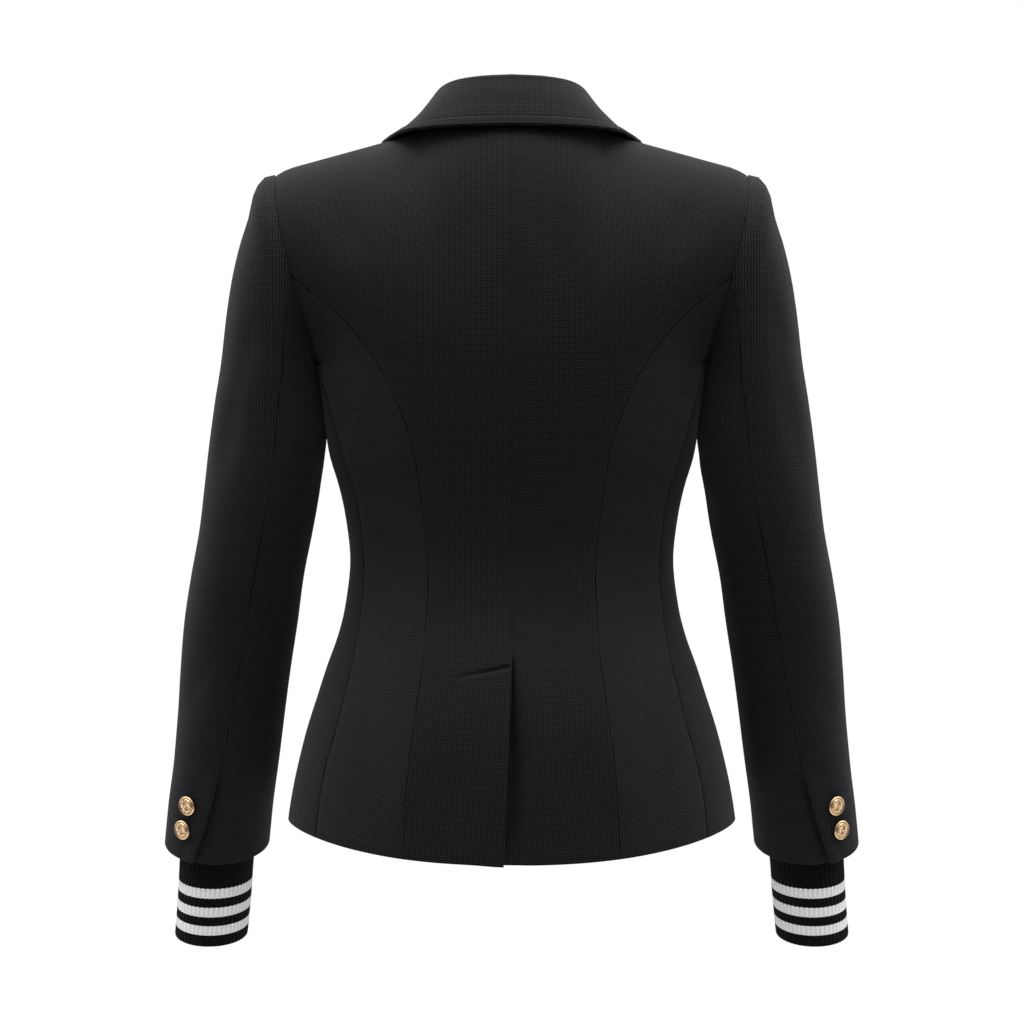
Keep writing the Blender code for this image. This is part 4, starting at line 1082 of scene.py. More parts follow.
# ---------------------------------------------------------------- collar
def collar_stations():
    """The collar's middle surface, from one front end round the neck to the other."""
    stations = np.linspace(0, COLLAR_END, 64)
    parts = {name: np.stack([COLLAR.at(stations, f"{name}_{axis}") for axis in "xyz"], -1)
             for name in ("foot", "fold", "edge")}
    foot, fold, edge = parts["foot"], parts["fold"], parts["edge"]
    edge[:, 2] -= EDGE_REST * np.exp(-(((stations - 3.4) / 1.0) ** 2))
    upward = unit(-(unit(edge - fold) + unit(foot - fold)))
    outward = edge - foot
    outward = unit(outward - (outward * upward).sum(-1, keepdims=True) * upward)
    r = COLLAR_FOLD_RADIUS
    hub = fold - upward * r
    bend = [hub + r * (math.cos(a) * outward + math.sin(a) * upward)
            for a in np.linspace(math.pi, 0, 15)]
    line = [foot + (bend[0] - foot) * k for k in (0, 0.03, 0.08, 0.2, 0.4, 0.6, 0.8)] + bend
    start = bend[-1]
    notch = on_chest(COLLAR_NOTCH[0], COLLAR_NOTCH[1], 2.8)
    at_end = ramp(stations, COLLAR_END - 1.0, COLLAR_END)[:, None]
    falls = np.concatenate([np.linspace(0, 0.72, 16)[1:], np.linspace(0.74, 0.97, 14),
                            [0.98, 0.99, 1.0]])
    fuller = COLLAR_FULLER * np.exp(-(((stations - 3.0) / 1.1) ** 2))
    fullness = (COLLAR.at(stations, "puff") + fuller)[:, None]
    for k in falls:
        straight = start + (edge - start) * k
        puff = fullness * math.sin(math.pi * k)
        turned = (start + (notch - start) * (k / 0.6) if k <= 0.6
                  else notch + (edge - notch) * (k - 0.6) / 0.4)
        line.append(straight + (turned - straight) * at_end + (outward + upward) * puff * 0.6)
    half = np.stack(line, 1)
    ends = half[-1] - (half[-1] - half[-2]) * np.array([0.6, 0.2, 0.06])[:, None, None]
    half = np.concatenate([half[:-1], ends, half[-1:]])
    other = half[:0:-1] * np.array([-1, 1, 1])
    return np.concatenate([other, half])


def make_collar(settings):
    middle = collar_stations()
    u, v = grid_lengths(middle)
    from_edge = u[:, -1:] - u
    step = ramp(from_edge, settings.collar_band + 0.9, settings.collar_band)
    groove = 0.35 * np.exp(-(((from_edge - settings.collar_band - 1.3) / 0.7) ** 2))
    crease = 0.5 * np.exp(-(((from_edge - 22) / 9) ** 2)) * np.cos(v / 47.0 + 0.8)
    proud = COLLAR_BAND * step - groove - crease
    outer, inner = thickened(middle, grid_normals(middle, BACKWARD), COLLAR_WALL, 1.1, proud)
    uv = np.stack([v - v[len(middle) // 2][None], u], -1) * MM
    piece = shell("cloth_collar", outer, inner, uv, plain_cloth())
    return declare(piece, "collar")


# ---------------------------------------------------------------- sleeves
def sleeve_rows(roll):
    """Ring values that are a few millimetres apart along the sleeve."""
    rings = np.linspace(0, SLEEVE_END, 1200)
    steps = [np.linalg.norm(np.diff(sleeve(rings, turn), axis=0), axis=-1)
             for turn in (0, 90, 180, 270)]
    run = np.concatenate([[0], np.cumsum(np.mean(steps, 0))])
    end = run[-1]
    wanted = np.concatenate([roll * ROLL, np.linspace(roll, end - roll, 96)[1:-1],
                             end - roll * ROLL[::-1]])
    return np.interp(wanted, run, rings)


def sleeve_uv(points):
    """Thread coordinates in metres: round the arm by the angle, and straight down along it."""
    key = np.linspace(SLEEVE_END, SLEEVE_HEAD_RINGS, 40)
    hubs = np.mean([sleeve(key, turn) for turn in range(0, 360, 30)], 0)
    across, deep = (np.interp(points[..., 2], hubs[:, 2], hubs[:, axis]) for axis in (0, 1))
    angle = np.unwrap(np.arctan2(points[..., 1] - deep, across - points[..., 0]), axis=1)
    return np.stack([ARM_RADIUS * angle, -points[..., 2]], -1) * MM


def pressed(points, turns):
    """How far the inner side of a sleeve is pressed towards the body below the armhole."""
    z = points[..., 2]
    close = (ramp(z, UNDERARM_REST - 26, UNDERARM_REST)
             * ramp(z, UNDERARM_FREE, UNDERARM_FREE - 14))
    return UNDERARM_PRESS * close * np.maximum(np.cos(np.radians(turns)), 0) ** 4


def make_sleeve(side, part, settings):
    """The upper or the under piece of a sleeve; at the vent the upper laps over."""
    mirrored = side == "right"
    upper = part == "upper"
    rings = sleeve_rows(settings.seam_roll)
    seam = SLEEVE_SEAM.at(rings, "turn")
    opening = ramp(rings, *SLEEVE_VENT)
    if upper:
        first, last, count = seam, 0 * rings + 360 + SLEEVE_FRONT_SEAM, 52
    else:
        first, last, count = 0 * rings + SLEEVE_FRONT_SEAM, seam + 9 * opening, 34
    turns = spread_columns(lambda turn, ring: sleeve(ring, turn), first, last, rings, count,
                           settings.seam_roll)
    ring = rings[:, None] + 0 * turns
    normals = sleeve_normal(ring, turns)
    points = sleeve(ring, turns)
    creased = sleeve_crease(ring, turns, side, settings.crease_strength)
    points = points - normals * creased[..., None]
    points[..., 0] -= pressed(points, turns)
    u, v = grid_lengths(points)
    lap = opening[:, None]
    if upper:
        points = points + normals * (UPPER_LAP_RISE * lap * ramp(u, 14.0, 2.0))[..., None]
    else:
        from_seam = u[:, -1:] - u
        sunk = UNDER_SLEEVE_SUNK * ramp(rings, 1.0, 3.0)[:, None] * ramp(from_seam, 16.0, 2.0)
        points = points - normals * sunk[..., None]
        points = points - normals * (UNDER_LAP_DEPTH * lap * ramp(from_seam, 18.0, 6.0))[..., None]
    normals[:8, :, 0] = np.maximum(normals[:8, :, 0], 0)
    dip = roll_dips(turns.shape, 1.5 * settings.seam_roll)
    rise = np.zeros_like(dip)
    hem = (settings.seam_roll * ROLL_DIP[::-1])[:, None]
    dip[:5] = np.maximum(dip[:5], (settings.seam_roll * ROLL_DIP)[:, None])
    dip[-5:] = np.maximum(dip[-5:], hem)
    rise[-5:] = np.maximum(rise[-5:], hem)
    edge = slice(0, 5) if upper else slice(-5, None)
    rise[:, edge] = np.maximum(rise[:, edge], dip[:, edge] * lap)
    closed_seam = opening < 0.02
    shut = np.zeros(points.shape)
    shut[:5, :, 0] -= SEAM_GAP + SLEEVE_LAP
    for column, sign in ((0, 1), (-1, -1)):
        rim = points[:, column]
        aside = unit(np.cross(unit(np.gradient(rim, axis=0)), normals[:, column])) * sign
        keep = closed_seam if (column == 0) == upper else opening > -1
        for c in (range(5) if column == 0 else range(-5, 0)):
            points[keep, c] += (aside * SEAM_LINE / 2)[keep]
            shut[keep, c] -= (aside * (SEAM_LINE / 2 + SEAM_LAP))[keep]
    outer = points - normals * dip[..., None]
    inner = points - normals * (CLOTH - rise)[..., None] + shut
    name = f"{part}_sleeve_{side}"
    piece = shell(f"cloth_{name}", outer, inner, sleeve_uv(points),
                  twilled_cloth(), mirrored)
    return declare(piece, name)


# ---------------------------------------------------------------- knit cuffs
def cuff_middle(ring, turn):
    """The cuff's outer surface: ring 0 is inside the sleeve, 2 to 5 hang free."""
    at_top = (sleeve(CUFF_TOP_RING + 0 * turn, turn)
              - sleeve_normal(CUFF_TOP_RING + 0 * turn, turn) * (CLOTH + CUFF_CLEAR))
    key = np.maximum(ring, 2.0)
    y = CUFF.at(key, "y")
    inner = from_seen(CUFF.at(key, "inner_x"), CUFF.at(key, "z"), y)
    outer = from_seen(CUFF.at(key, "outer_x"), CUFF.at(key, "z"), y)
    pitch, angle = np.radians(CUFF.at(key, "pitch")), np.radians(turn)
    swing = point(0 * y, np.cos(pitch), -np.sin(pitch)) * CUFF.at(key, "half_depth")[..., None]
    free = ((inner + outer) / 2 - np.cos(angle)[..., None] * (outer - inner) / 2
            + np.sin(angle)[..., None] * swing)
    middle = free * 0.72 + at_top * 0.28 + np.array([0, 0, 6.0])
    low, high = ramp(ring, 0.0, 1.0)[..., None], ramp(ring, 1.0, 2.0)[..., None]
    return (at_top * (1 - low) + middle * low) * (1 - high) + free * high


def piece_tree(name, given, numbers):
    """A geometry node tree that takes a mesh, numbers and a yarn, and gives a mesh."""
    tree = bpy.data.node_groups.new(name, "GeometryNodeTree")
    tree.interface.new_socket(given, in_out="INPUT", socket_type="NodeSocketGeometry")
    for label, kind in numbers:
        tree.interface.new_socket(label, in_out="INPUT", socket_type=kind)
    tree.interface.new_socket("Yarn", in_out="INPUT", socket_type="NodeSocketMaterial")
    tree.interface.new_socket("Geometry", in_out="OUTPUT", socket_type="NodeSocketGeometry")
    return tree, tree.nodes.new("NodeGroupInput").outputs


def give_back(tree, geometry, yarn):
    """Makes the geometry real, gives it its yarn and ends the tree."""
    real = tree.nodes.new("GeometryNodeRealizeInstances")
    link(tree, geometry, real.inputs[0])
    paint = tree.nodes.new("GeometryNodeSetMaterial")
    link(tree, real.outputs[0], paint.inputs["Geometry"])
    link(tree, yarn, paint.inputs["Material"])
    link(tree, paint.outputs[0], tree.nodes.new("NodeGroupOutput").inputs[0])
    return tree


def stored(tree, name):
    """A number that the mesh holds at each of its points."""
    node = tree.nodes.new("GeometryNodeInputNamedAttribute")
    node.data_type = "FLOAT"
    node.inputs["Name"].default_value = name
    return node.outputs["Attribute"]


def rib_tree():
    """Geometry nodes that press the grooves between the ribs into a knitted tube."""
    tree, given = piece_tree("knit_ribs", "Geometry", (("Rib Count", "NodeSocketInt"),
                                                       ("Rib Depth", "NodeSocketFloat")))
    turn = math_node(tree, "MULTIPLY", stored(tree, "around"), given["Rib Count"])
    wave = math_node(tree, "COSINE", math_node(tree, "MULTIPLY", turn, 2 * math.pi))
    groove = math_node(tree, "POWER", math_node(tree, "MULTIPLY_ADD", wave, 0.5, 0.5), 1.6)
    depth = math_node(tree, "MULTIPLY", math_node(tree, "MULTIPLY", groove, stored(tree, "ribbed")),
                      given["Rib Depth"])
    normal = tree.nodes.new("GeometryNodeInputNormal").outputs[0]
    move = tree.nodes.new("GeometryNodeSetPosition")
    link(tree, given["Geometry"], move.inputs["Geometry"])
    inward = scaled(tree, normal, math_node(tree, "MULTIPLY", depth, -1.0))
    link(tree, inward, move.inputs["Offset"])
    return give_back(tree, move.outputs[0], given["Yarn"])


def grown(piece, tree, values):
    """Runs a node tree on a piece and keeps the result as a plain mesh."""
    modifier = piece.modifiers.new("grow", "NODES")
    modifier.node_group = tree
    for item in tree.interface.items_tree:
        if item.in_out == "INPUT" and item.name in values:
            modifier[item.identifier] = values[item.name]
    bpy.context.view_layer.update()
    seen = piece.evaluated_get(bpy.context.evaluated_depsgraph_get())
    mesh = bpy.data.meshes.new_from_object(seen)
    piece.modifiers.remove(modifier)
    old, piece.data = piece.data, mesh
    bpy.data.meshes.remove(old)
    mesh.name = piece.name
    return piece


def make_cuff(side, settings):
    mirrored = side == "right"
    around = settings.rib_count * 6
    turn = np.arange(around) * 360.0 / around
    levels = np.linspace(0, 5, 500)
    path = cuff_middle(levels, 90 + 0 * levels)
    run = np.concatenate([[0], np.cumsum(np.linalg.norm(np.diff(path, axis=0), axis=-1))])
    end = run[-1]
    wall = KNIT_WALL / 2
    wanted = np.concatenate([np.linspace(0, end - wall, 64), end - wall * ROLL[::-1][1:]])
    ring = np.interp(wanted, run, levels)[:, None] + 0 * turn
    turn = turn[None] + 0 * ring
    outer = cuff_middle(ring, turn)
    below = np.concatenate([outer[1:], outer[-1:] + (outer[-1:] - outer[-2:-1])])
    above = np.concatenate([outer[:1], outer[:-1]])
    aside = np.roll(outer, -1, 1) - np.roll(outer, 1, 1)
    normals = unit(np.cross(aside, below - above))
    centre = outer.mean(1, keepdims=True)
    if ((outer - centre) * normals).sum() < 0:
        normals = -normals
    hollow = 0.5 * np.sin(np.radians(turn * 2 + 40)) * ramp(ring, 2.0, 4.0) * ramp(ring, 5.0, 4.2)
    dip = np.zeros(ring.shape)
    dip[-5:] = (wall * ROLL_DIP[::-1])[:, None]
    outer_wall = outer - normals * (dip + hollow)[..., None]
    inner_wall = outer - normals * (KNIT_WALL - dip + hollow)[..., None]
    height = (end - wanted)[:, None] + 0 * turn
    uv = np.stack([turn / 360.0, height * MM], -1)
    piece = shell(f"knit_cuff_{side}", outer_wall, inner_wall, uv, knit(settings), mirrored,
                  closed=True)
    outside = (ramp(ring, 0.0, 0.6) * (1 - dip / wall * 0.3)).ravel()
    shown = np.concatenate([outside, np.zeros(outside.size)])
    for label, values in (("around", np.tile(turn.ravel() / 360.0, 2)), ("ribbed", shown)):
        attribute = piece.data.attributes.new(label, "FLOAT", "POINT")
        attribute.data.foreach_set("value", values.astype(np.float32))
    tree = bpy.data.node_groups.get("knit_ribs") or rib_tree()
    grown(piece, tree, {"Rib Count": settings.rib_count, "Rib Depth": settings.rib_depth,
                        "Yarn": knit(settings)})
    return declare(piece, f"cuff_{side}")


# ---------------------------------------------------------------- buttons
def button_mesh(name, diameter, seat, normal, settings, mirrored=False, twist=0.0):
    """A cast dome: beaded rim, a ring and a rosette of leaves, on a round shank."""
    r = diameter / 2
    around = 96
    angle = np.arange(around) * 2 * math.pi / around
    profile = [(0.0, 2.3, 0), (1.2, 2.3, 0), (1.5, r * 0.80, 0), (1.9, r * 0.96, 0), (2.4, r, 0.1),
               (2.9, r * 0.995, 0.3), (3.25, r * 0.965, 0.7)]
    dome = [(share, 3.3 + 1.25 * (1 - share**2)) for share in
            (0.93, 0.90, 0.87, 0.84, 0.80, 0.76, 0.72, 0.68, 0.63, 0.58, 0.53, 0.48, 0.43, 0.38,
             0.33, 0.28, 0.23, 0.18, 0.13, 0.08, 0.04)]
    rings, levels = [], []
    for height, radius, level in profile:
        rings.append((height + 0 * angle, radius + 0 * angle))
        levels.append(level + 0 * angle)
    for share, height in dome:
        beads = 0.5 + 0.5 * np.cos(angle * 32)
        rim = math.exp(-(((share - 0.90) / 0.045) ** 2)) * (0.35 + 0.65 * beads)
        trough = math.exp(-(((share - 0.79) / 0.035) ** 2))
        ring = math.exp(-(((share - 0.72) / 0.025) ** 2))
        leaf_width = np.abs(np.cos(angle * 4 + 0.9 * share))
        leaves = leaf_width ** 0.8 * math.exp(-(((share - 0.45) / 0.19) ** 2))
        veins = (0.35 * np.exp(-((leaf_width - 1) / 0.02) ** 2)
                 * math.exp(-(((share - 0.45) / 0.15) ** 2)))
        heart = (0.75 + 0.25 * np.cos(angle * 6)) * math.exp(-((share / 0.15) ** 2))
        relief = 0.42 * rim + 0.28 * ring + 0.62 * leaves - veins + 0.55 * heart - 0.25 * trough
        rings.append((height - 0.25 + relief * settings.button_relief, share * r + 0 * angle))
        levels.append(np.clip(0.15 + relief * 1.3, 0, 1))
    axis = unit(np.asarray(normal, float))
    aside = unit(np.cross(axis, [0.3, 0.2, 0.9]))
    other = np.cross(axis, aside)
    spin = angle + twist
    verts = []
    for height, radius in rings:
        around_axis = np.cos(spin)[:, None] * aside + np.sin(spin)[:, None] * other
        verts.append(seat + height[:, None] * axis + radius[:, None] * around_axis)
    verts = np.concatenate(verts)
    top = seat + axis * (4.55 - 0.25 + 0.6 * settings.button_relief)
    verts = np.concatenate([verts, [top]]) * MM
    if mirrored:
        verts = verts * np.array([-1, 1, 1])
    faces = []
    last = len(rings) - 1
    for k in range(last):
        for i in range(around):
            n = (i + 1) % around
            faces.append([k * around + i, k * around + n,
                          (k + 1) * around + n, (k + 1) * around + i])
    faces.append(list(range(around))[::-1])
    faces += [[last * around + i, last * around + (i + 1) % around, len(verts) - 1]
              for i in range(around)]
    level = np.concatenate([np.concatenate(levels), [0.9]])
    uv = np.stack([level, 0 * level], -1)
    piece = cloth_object(name, verts, faces, uv, shared("gold_tone_metal", gold_material, settings))
    piece.data.uv_layers[0].name = "relief"
    return piece


def sleeve_button_spot(seen_x, seen_z):
    """Ring and turn of the sleeve where a button shows at seen_x, seen_z."""
    ring, turn = 18.0, 125.0
    for _ in range(40):
        x, z = as_seen(sleeve(ring, turn))
        ring += (float(z) - seen_z) / 38.0
        turn += (seen_x - float(x)) * 0.9
    return ring, turn


def place_button(piece, node):
    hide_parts(node)
    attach(piece, "root")


def buttonhole_tree():
    """Geometry nodes that set thread stitches side by side along a path."""
    tree, given = piece_tree("buttonhole_stitches", "Path", [
        (label, "NodeSocketFloat") for label in ("Spacing", "Stitch Width", "Thread")])
    curve = tree.nodes.new("GeometryNodeMeshToCurve")
    link(tree, given["Path"], curve.inputs[0])
    spots = tree.nodes.new("GeometryNodeCurveToPoints")
    spots.mode = "LENGTH"
    link(tree, curve.outputs[0], spots.inputs[0])
    link(tree, given["Spacing"], spots.inputs["Length"])
    stitch = tree.nodes.new("GeometryNodeMeshUVSphere")
    fill(stitch, {"Segments": 6, "Rings": 4, "Radius": 1.0})
    shape = tree.nodes.new("ShaderNodeCombineXYZ")
    for label, size in (("X", "Stitch Width"), ("Y", "Thread"), ("Z", "Thread")):
        link(tree, given[size], shape.inputs[label])
    place = tree.nodes.new("GeometryNodeInstanceOnPoints")
    for source, label in ((spots.outputs["Points"], "Points"), (stitch.outputs["Mesh"], "Instance"),
                          (spots.outputs["Rotation"], "Rotation"), (shape.outputs[0], "Scale")):
        link(tree, source, place.inputs[label])
    return give_back(tree, place.outputs[0], given["Yarn"])


def thread_material():
    material, tree, shader = new_material("buttonhole_thread")
    twist = tree.nodes.new("ShaderNodeTexWave")
    fill(twist, {"Scale": 1800.0})
    link(tree, tree.nodes.new("ShaderNodeTexCoord").outputs["Object"], twist.inputs["Vector"])
    tones = blended(tree, twist.outputs["Fac"], (0.006, 0.006, 0.007), (0.022, 0.022, 0.024))
    link(tree, tones, shader.inputs["Base Color"])
    fill(shader, {"Roughness": 0.55, "Specular IOR Level": 0.3})
    return material


def make_buttonhole(place, z, settings):
    """A worked buttonhole in the right front, from under the button towards the edge."""
    v = float(solve(lambda row: body(2.0, row)[..., 2] - z, 0.0, 1.0))
    loop = []
    for k in range(40):
        angle = 2 * math.pi * k / 40
        x = 2.5 + 11.5 * math.copysign(abs(math.cos(angle)) ** 0.5, math.cos(angle))
        up = 0.9 * math.sin(angle)
        tau = 2.0
        if x:
            tau = float(solve(lambda t: x - np.abs(body(t, v)[..., 0]) * np.sign(2.0 - t),
                              1.6, 2.4))
        spot = body(tau, v + up / 400.0) + body_normal(tau, v) * 0.1
        loop.append(spot * np.array([-1, 1, 1]) * MM)
    mesh = bpy.data.meshes.new(f"buttonhole_{place}")
    count = len(loop)
    mesh.from_pydata([tuple(p) for p in loop], [(k, (k + 1) % count) for k in range(count)], [])
    piece = bpy.data.objects.new(f"buttonhole_{place}", mesh)
    bpy.context.scene.collection.objects.link(piece)
    tree = bpy.data.node_groups.get("buttonhole_stitches") or buttonhole_tree()
    grown(piece, tree, {"Spacing": 0.00055, "Stitch Width": 0.0011, "Thread": 0.0003,
                        "Yarn": shared("buttonhole_thread", thread_material)})
    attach(piece, "root")
    return piece


# ---------------------------------------------------------------- stage
def make_floor(settings):
    """A plain pale floor, well below the hanging garment."""
    radius, around = settings.floor_radius, 96
    verts, faces = [], []
    for share, drop in ((0.5, 0.0), (0.97, 0.0), (0.995, 0.006), (1.0, 0.02)):
        for k in range(around):
            angle = 2 * math.pi * k / around
            verts.append((radius * share * math.cos(angle), radius * share * math.sin(angle),
                          settings.floor_height - drop))
    for r in range(3):
        for k in range(around):
            n = (k + 1) % around
            faces.append([r * around + k, (r + 1) * around + k, (r + 1) * around + n, r * around + n])
    faces.append(list(range(around)))
    mesh = bpy.data.meshes.new("floor")
    mesh.from_pydata(verts, [], faces)
    mesh.shade_smooth()
    floor = bpy.data.objects.new("floor", mesh)
    bpy.context.scene.collection.objects.link(floor)
    material, _, shader = new_material("pale_floor")
    fill(shader, {"Base Color": tuple(settings.floor_colour), "Roughness": 0.8})
    mesh.materials.append(material)


def make_world(settings):
    """White to the eye; its light is strongest from above and weakest from the front and back."""
    world = bpy.data.worlds.new("studio")
    bpy.context.scene.world = world
    world.use_nodes = True
    tree = world.node_tree
    backdrop = tree.nodes["Background"]
    fill(backdrop, {"Strength": 1.0, "Color": (1.0, 1.0, 1.0)})
    split = split_up(tree, tree.nodes.new("ShaderNodeTexCoord").outputs["Generated"])
    above = math_node(tree, "POWER", math_node(tree, "MAXIMUM", split["Z"], 0.0), 2.0)
    sideways = math_node(tree, "ABSOLUTE", split["X"])
    level = math_node(tree, "MULTIPLY_ADD", above, settings.light_above,
                      math_node(tree, "MULTIPLY_ADD", sideways, settings.light_sides,
                                settings.light_all))
    soft = tree.nodes.new("ShaderNodeBackground")
    link(tree, math_node(tree, "MAXIMUM", level, 0.02), soft.inputs["Strength"])
    fill(soft, {"Color": (1.0, 0.985, 1.0)})
    path = tree.nodes.new("ShaderNodeLightPath")
    mix = tree.nodes.new("ShaderNodeMixShader")
    link(tree, path.outputs["Is Camera Ray"], mix.inputs["Fac"])
    link(tree, soft.outputs[0], mix.inputs[1])
    link(tree, backdrop.outputs[0], mix.inputs[2])
    link(tree, mix.outputs[0], tree.nodes["World Output"].inputs["Surface"])


def make_light(name, place, aim, size, power):
    lamp = bpy.data.lights.new(name, "AREA")
    lamp.shape = "RECTANGLE"
    lamp.size, lamp.size_y = size
    lamp.energy = power
    light = bpy.data.objects.new(name, lamp)
    light.location = place
    direction = np.array(aim) - np.array(place)
    turn = math.atan2(direction[1], direction[0])
    tilt = math.atan2(math.hypot(direction[0], direction[1]), -direction[2])
    light.rotation_euler = (tilt, 0, turn - math.pi / 2)
    bpy.context.scene.collection.objects.link(light)


def make_camera():
    camera_data = bpy.data.cameras.new("camera")
    camera_data.sensor_width = 36.0
    camera_data.lens = 36.0 * VIEW_DISTANCE / VIEW_WIDTH
    camera = bpy.data.objects.new("camera", camera_data)
    camera.location = (-0.0002, VIEW_DISTANCE * MM, VIEW_HEIGHT * MM)
    camera.rotation_euler = (math.pi / 2, 0, math.pi)
    bpy.context.scene.collection.objects.link(camera)
    bpy.context.scene.camera = camera
    bpy.context.scene.view_settings.view_transform = "Standard"


# ---------------------------------------------------------------- settings
class BlazerCloth(bpy.types.PropertyGroup):
    cloth_colour: FloatVectorProperty(name="Cloth", subtype="COLOR", size=3, min=0, max=1,
                                      description="Colour of the wool cloth",
                                      default=(0.0056, 0.0053, 0.0060))
    weave_pitch: FloatProperty(name="Weave pitch", description="Distance from knot to knot",
                               default=0.00185, min=0.0005, unit="LENGTH")
    # painted shade: how much darker the weave's gaps are painted than its knots
    weave_painted_shade: FloatProperty(name="Weave painted shade", default=5.5, min=0,
                                  description="How much the knots differ from the gaps in tone")
    seam_roll: FloatProperty(name="Seam roll", default=0.9, min=0.1, max=0.95,
                             description="Radius of the rolled edges, in millimetres")
    crease_strength: FloatProperty(name="Creases", default=1.0, min=0, max=2,
                                   description="Depth of the creases, as a share of their table")
    lapel_belly: FloatProperty(name="Lapel belly", default=1.6, min=0,
                               description="How far a lapel springs off the chest, in millimetres")
    collar_band: FloatProperty(name="Collar band", default=7.2, min=0,
                               description="Width of the band along the collar's edge, in millimetres")


class BlazerKnit(bpy.types.PropertyGroup):
    knit_colour: FloatVectorProperty(name="Ground", subtype="COLOR", size=3, min=0, max=1,
                                     description="Colour of the knit's ground",
                                     default=(0.0030, 0.0029, 0.0032))
    stripe_colour: FloatVectorProperty(name="Stripes", subtype="COLOR", size=3, min=0, max=1,
                                       description="Colour of the stripes", default=(0.80, 0.80, 0.80))
    rib_count: IntProperty(name="Ribs", default=48, min=8, description="Ribs round one cuff")
    rib_depth: FloatProperty(name="Rib depth", default=0.0005, min=0, unit="LENGTH",
                             description="Depth of the grooves between the ribs")
    stitch_length: FloatProperty(name="Stitch", default=0.0017, min=0.0005, unit="LENGTH",
                                 description="Height of one row of stitches")


class BlazerButtons(bpy.types.PropertyGroup):
    gold_colour: FloatVectorProperty(name="Metal", subtype="COLOR", size=3, min=0, max=1,
                                     description="Colour of the polished metal",
                                     default=(0.90, 0.66, 0.40))
    button_relief: FloatProperty(name="Relief", default=1.2, min=0,
                                 description="Height of the cast relief, in millimetres")


class BlazerStage(bpy.types.PropertyGroup):
    floor_radius: FloatProperty(name="Floor radius", default=1.25, min=0.2, unit="LENGTH",
                                description="Radius of the pale floor")
    floor_height: FloatProperty(name="Floor height", default=-1.35, unit="LENGTH",
                                description="Height of the floor below the shoulders")
    floor_colour: FloatVectorProperty(name="Floor", subtype="COLOR", size=3, min=0, max=1,
                                      description="Colour of the floor", default=(0.66, 0.66, 0.66))
    light_all: FloatProperty(name="Light all round", default=0.02, min=0,
                             description="Soft light from every side")
    light_above: FloatProperty(name="Light from above", default=3.2, min=0,
                               description="Soft light from above")
    light_sides: FloatProperty(name="Light from the sides", default=0.4, min=0,
                               description="Soft light from both sides")


# ---------------------------------------------------------------- operators
class MakeBacks(bpy.types.Operator):
    """Makes the two centre backs and the two side backs"""
    bl_idname = "blazer.backs"
    bl_label = "Backs"

    def execute(self, context):
        for side in ("left", "right"):
            make_back(side, context.scene.blazer_cloth)
            make_side_back(side, context.scene.blazer_cloth)
        return {"FINISHED"}


class MakeFronts(bpy.types.Operator):
    """Makes the two fronts"""
    bl_idname = "blazer.fronts"
    bl_label = "Fronts"

    def execute(self, context):
        for side in ("left", "right"):
            make_front(side, context.scene.blazer_cloth)
        return {"FINISHED"}


class MakeLapels(bpy.types.Operator):
    """Makes the two lapels"""
    bl_idname = "blazer.lapels"
    bl_label = "Lapels"

    def execute(self, context):
        for side in ("left", "right"):
            make_lapel(side, context.scene.blazer_cloth)
        return {"FINISHED"}


class MakeCollar(bpy.types.Operator):
    """Makes the collar with its edge band"""
    bl_idname = "blazer.collar"
    bl_label = "Collar"

    def execute(self, context):
        make_collar(context.scene.blazer_cloth)
        return {"FINISHED"}


class MakeSleeves(bpy.types.Operator):
    """Makes both pieces of both sleeves"""
    bl_idname = "blazer.sleeves"
    bl_label = "Sleeves"

    def execute(self, context):
        for side in ("left", "right"):
            for part in ("upper", "under"):
                make_sleeve(side, part, context.scene.blazer_cloth)
        return {"FINISHED"}


class MakeCuffs(bpy.types.Operator):
    """Makes the two ribbed cuffs"""
    bl_idname = "blazer.cuffs"
    bl_label = "Cuffs"

    def execute(self, context):
        for side in ("left", "right"):
            make_cuff(side, context.scene.blazer_knit)
        return {"FINISHED"}


class MakeSleeveButtons(bpy.types.Operator):
    """Makes the buttons of both sleeves"""
    bl_idname = "blazer.sleeve_buttons"
    bl_label = "Sleeve buttons"

    def execute(self, context):
        settings = context.scene.blazer_buttons
        for side, mirrored in (("left", False), ("right", True)):
            for k, (place, (seen_x, seen_z)) in enumerate(SLEEVE_BUTTONS.items()):
                ring, turn = sleeve_button_spot(seen_x, seen_z)
                normal = sleeve_normal(ring, turn)
                seat = sleeve(ring, turn) + normal * BUTTON_SEAT
                name = f"{side}_{place}"
                piece = button_mesh(f"gold_sleeve_button_{name}", SLEEVE_BUTTON, seat, normal,
                                    settings, mirrored, twist=0.7 * k + 0.4 * mirrored)
                place_button(piece, f"sleeve_button_{name}")
        return {"FINISHED"}


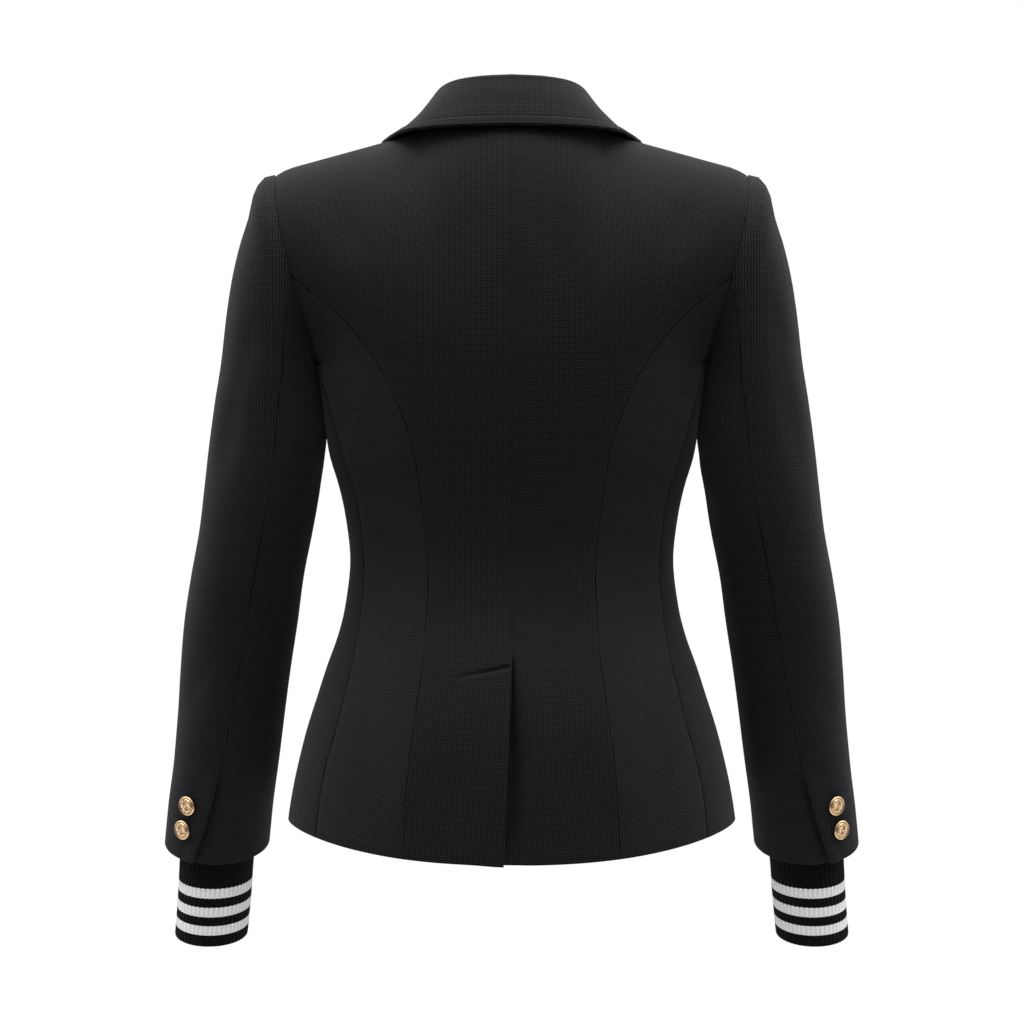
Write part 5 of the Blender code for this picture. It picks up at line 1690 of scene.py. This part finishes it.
class MakeFrontButtons(bpy.types.Operator):
    """Makes the front's buttons and the buttonholes behind them"""
    bl_idname = "blazer.front_buttons"
    bl_label = "Front buttons"

    def execute(self, context):
        settings = context.scene.blazer_buttons
        for place, z in FRONT_BUTTONS.items():
            v = float(solve(lambda row: body(2.0, row)[..., 2] - z, 0.0, 1.0))
            normal = body_normal(2.0, v)
            seat = body(2.0, v) + normal * BUTTON_SEAT
            piece = button_mesh(f"gold_front_button_{place}", FRONT_BUTTON, seat, normal, settings)
            place_button(piece, f"front_button_{place}")
            make_buttonhole(place, z, settings)
        return {"FINISHED"}


class MakeStage(bpy.types.Operator):
    """Makes the floor, the light and the camera"""
    bl_idname = "blazer.stage"
    bl_label = "Stage"

    def execute(self, context):
        settings = context.scene.blazer_stage
        make_floor(settings)
        make_world(settings)
        make_light("overhead", (0.0, 0.25, 1.9), (0, 0, -0.2), (2.4, 1.4), 90.0)
        make_light("left_side", (2.4, 0.0, 0.6), (0, 0, -0.35), (1.4, 2.0), 15.0)
        make_light("right_side", (-2.4, 0.0, 0.6), (0, 0, -0.35), (1.4, 2.0), 15.0)
        make_camera()
        return {"FINISHED"}


class BlazerPanel(bpy.types.Panel):
    """Lists the blazer's sizes, colours and makers"""
    bl_idname = "VIEW3D_PT_blazer"
    bl_label = "Blazer"
    bl_space_type = "VIEW_3D"
    bl_region_type = "UI"
    bl_category = "Blazer"

    def draw(self, context):
        for group in (context.scene.blazer_cloth, context.scene.blazer_knit,
                      context.scene.blazer_buttons, context.scene.blazer_stage):
            box = self.layout.box()
            for label in group.__annotations__:
                box.prop(group, label)
        for maker in MAKERS:
            self.layout.operator(maker.bl_idname)


GROUPS = {"blazer_cloth": BlazerCloth, "blazer_knit": BlazerKnit,
          "blazer_buttons": BlazerButtons, "blazer_stage": BlazerStage}
MAKERS = (MakeBacks, MakeFronts, MakeLapels, MakeCollar, MakeSleeves, MakeCuffs,
          MakeSleeveButtons, MakeFrontButtons, MakeStage)


def register():
    for kind in (*GROUPS.values(), *MAKERS, BlazerPanel):
        bpy.utils.register_class(kind)
    for name, kind in GROUPS.items():
        setattr(bpy.types.Scene, name, PointerProperty(type=kind))


def unregister():
    for name in GROUPS:
        delattr(bpy.types.Scene, name)
    for kind in reversed((*GROUPS.values(), *MAKERS, BlazerPanel)):
        bpy.utils.unregister_class(kind)


def main():
    register()
    for maker in MAKERS:
        group, name = maker.bl_idname.split(".")
        getattr(getattr(bpy.ops, group), name)()


if __name__ == "__main__":
    main()
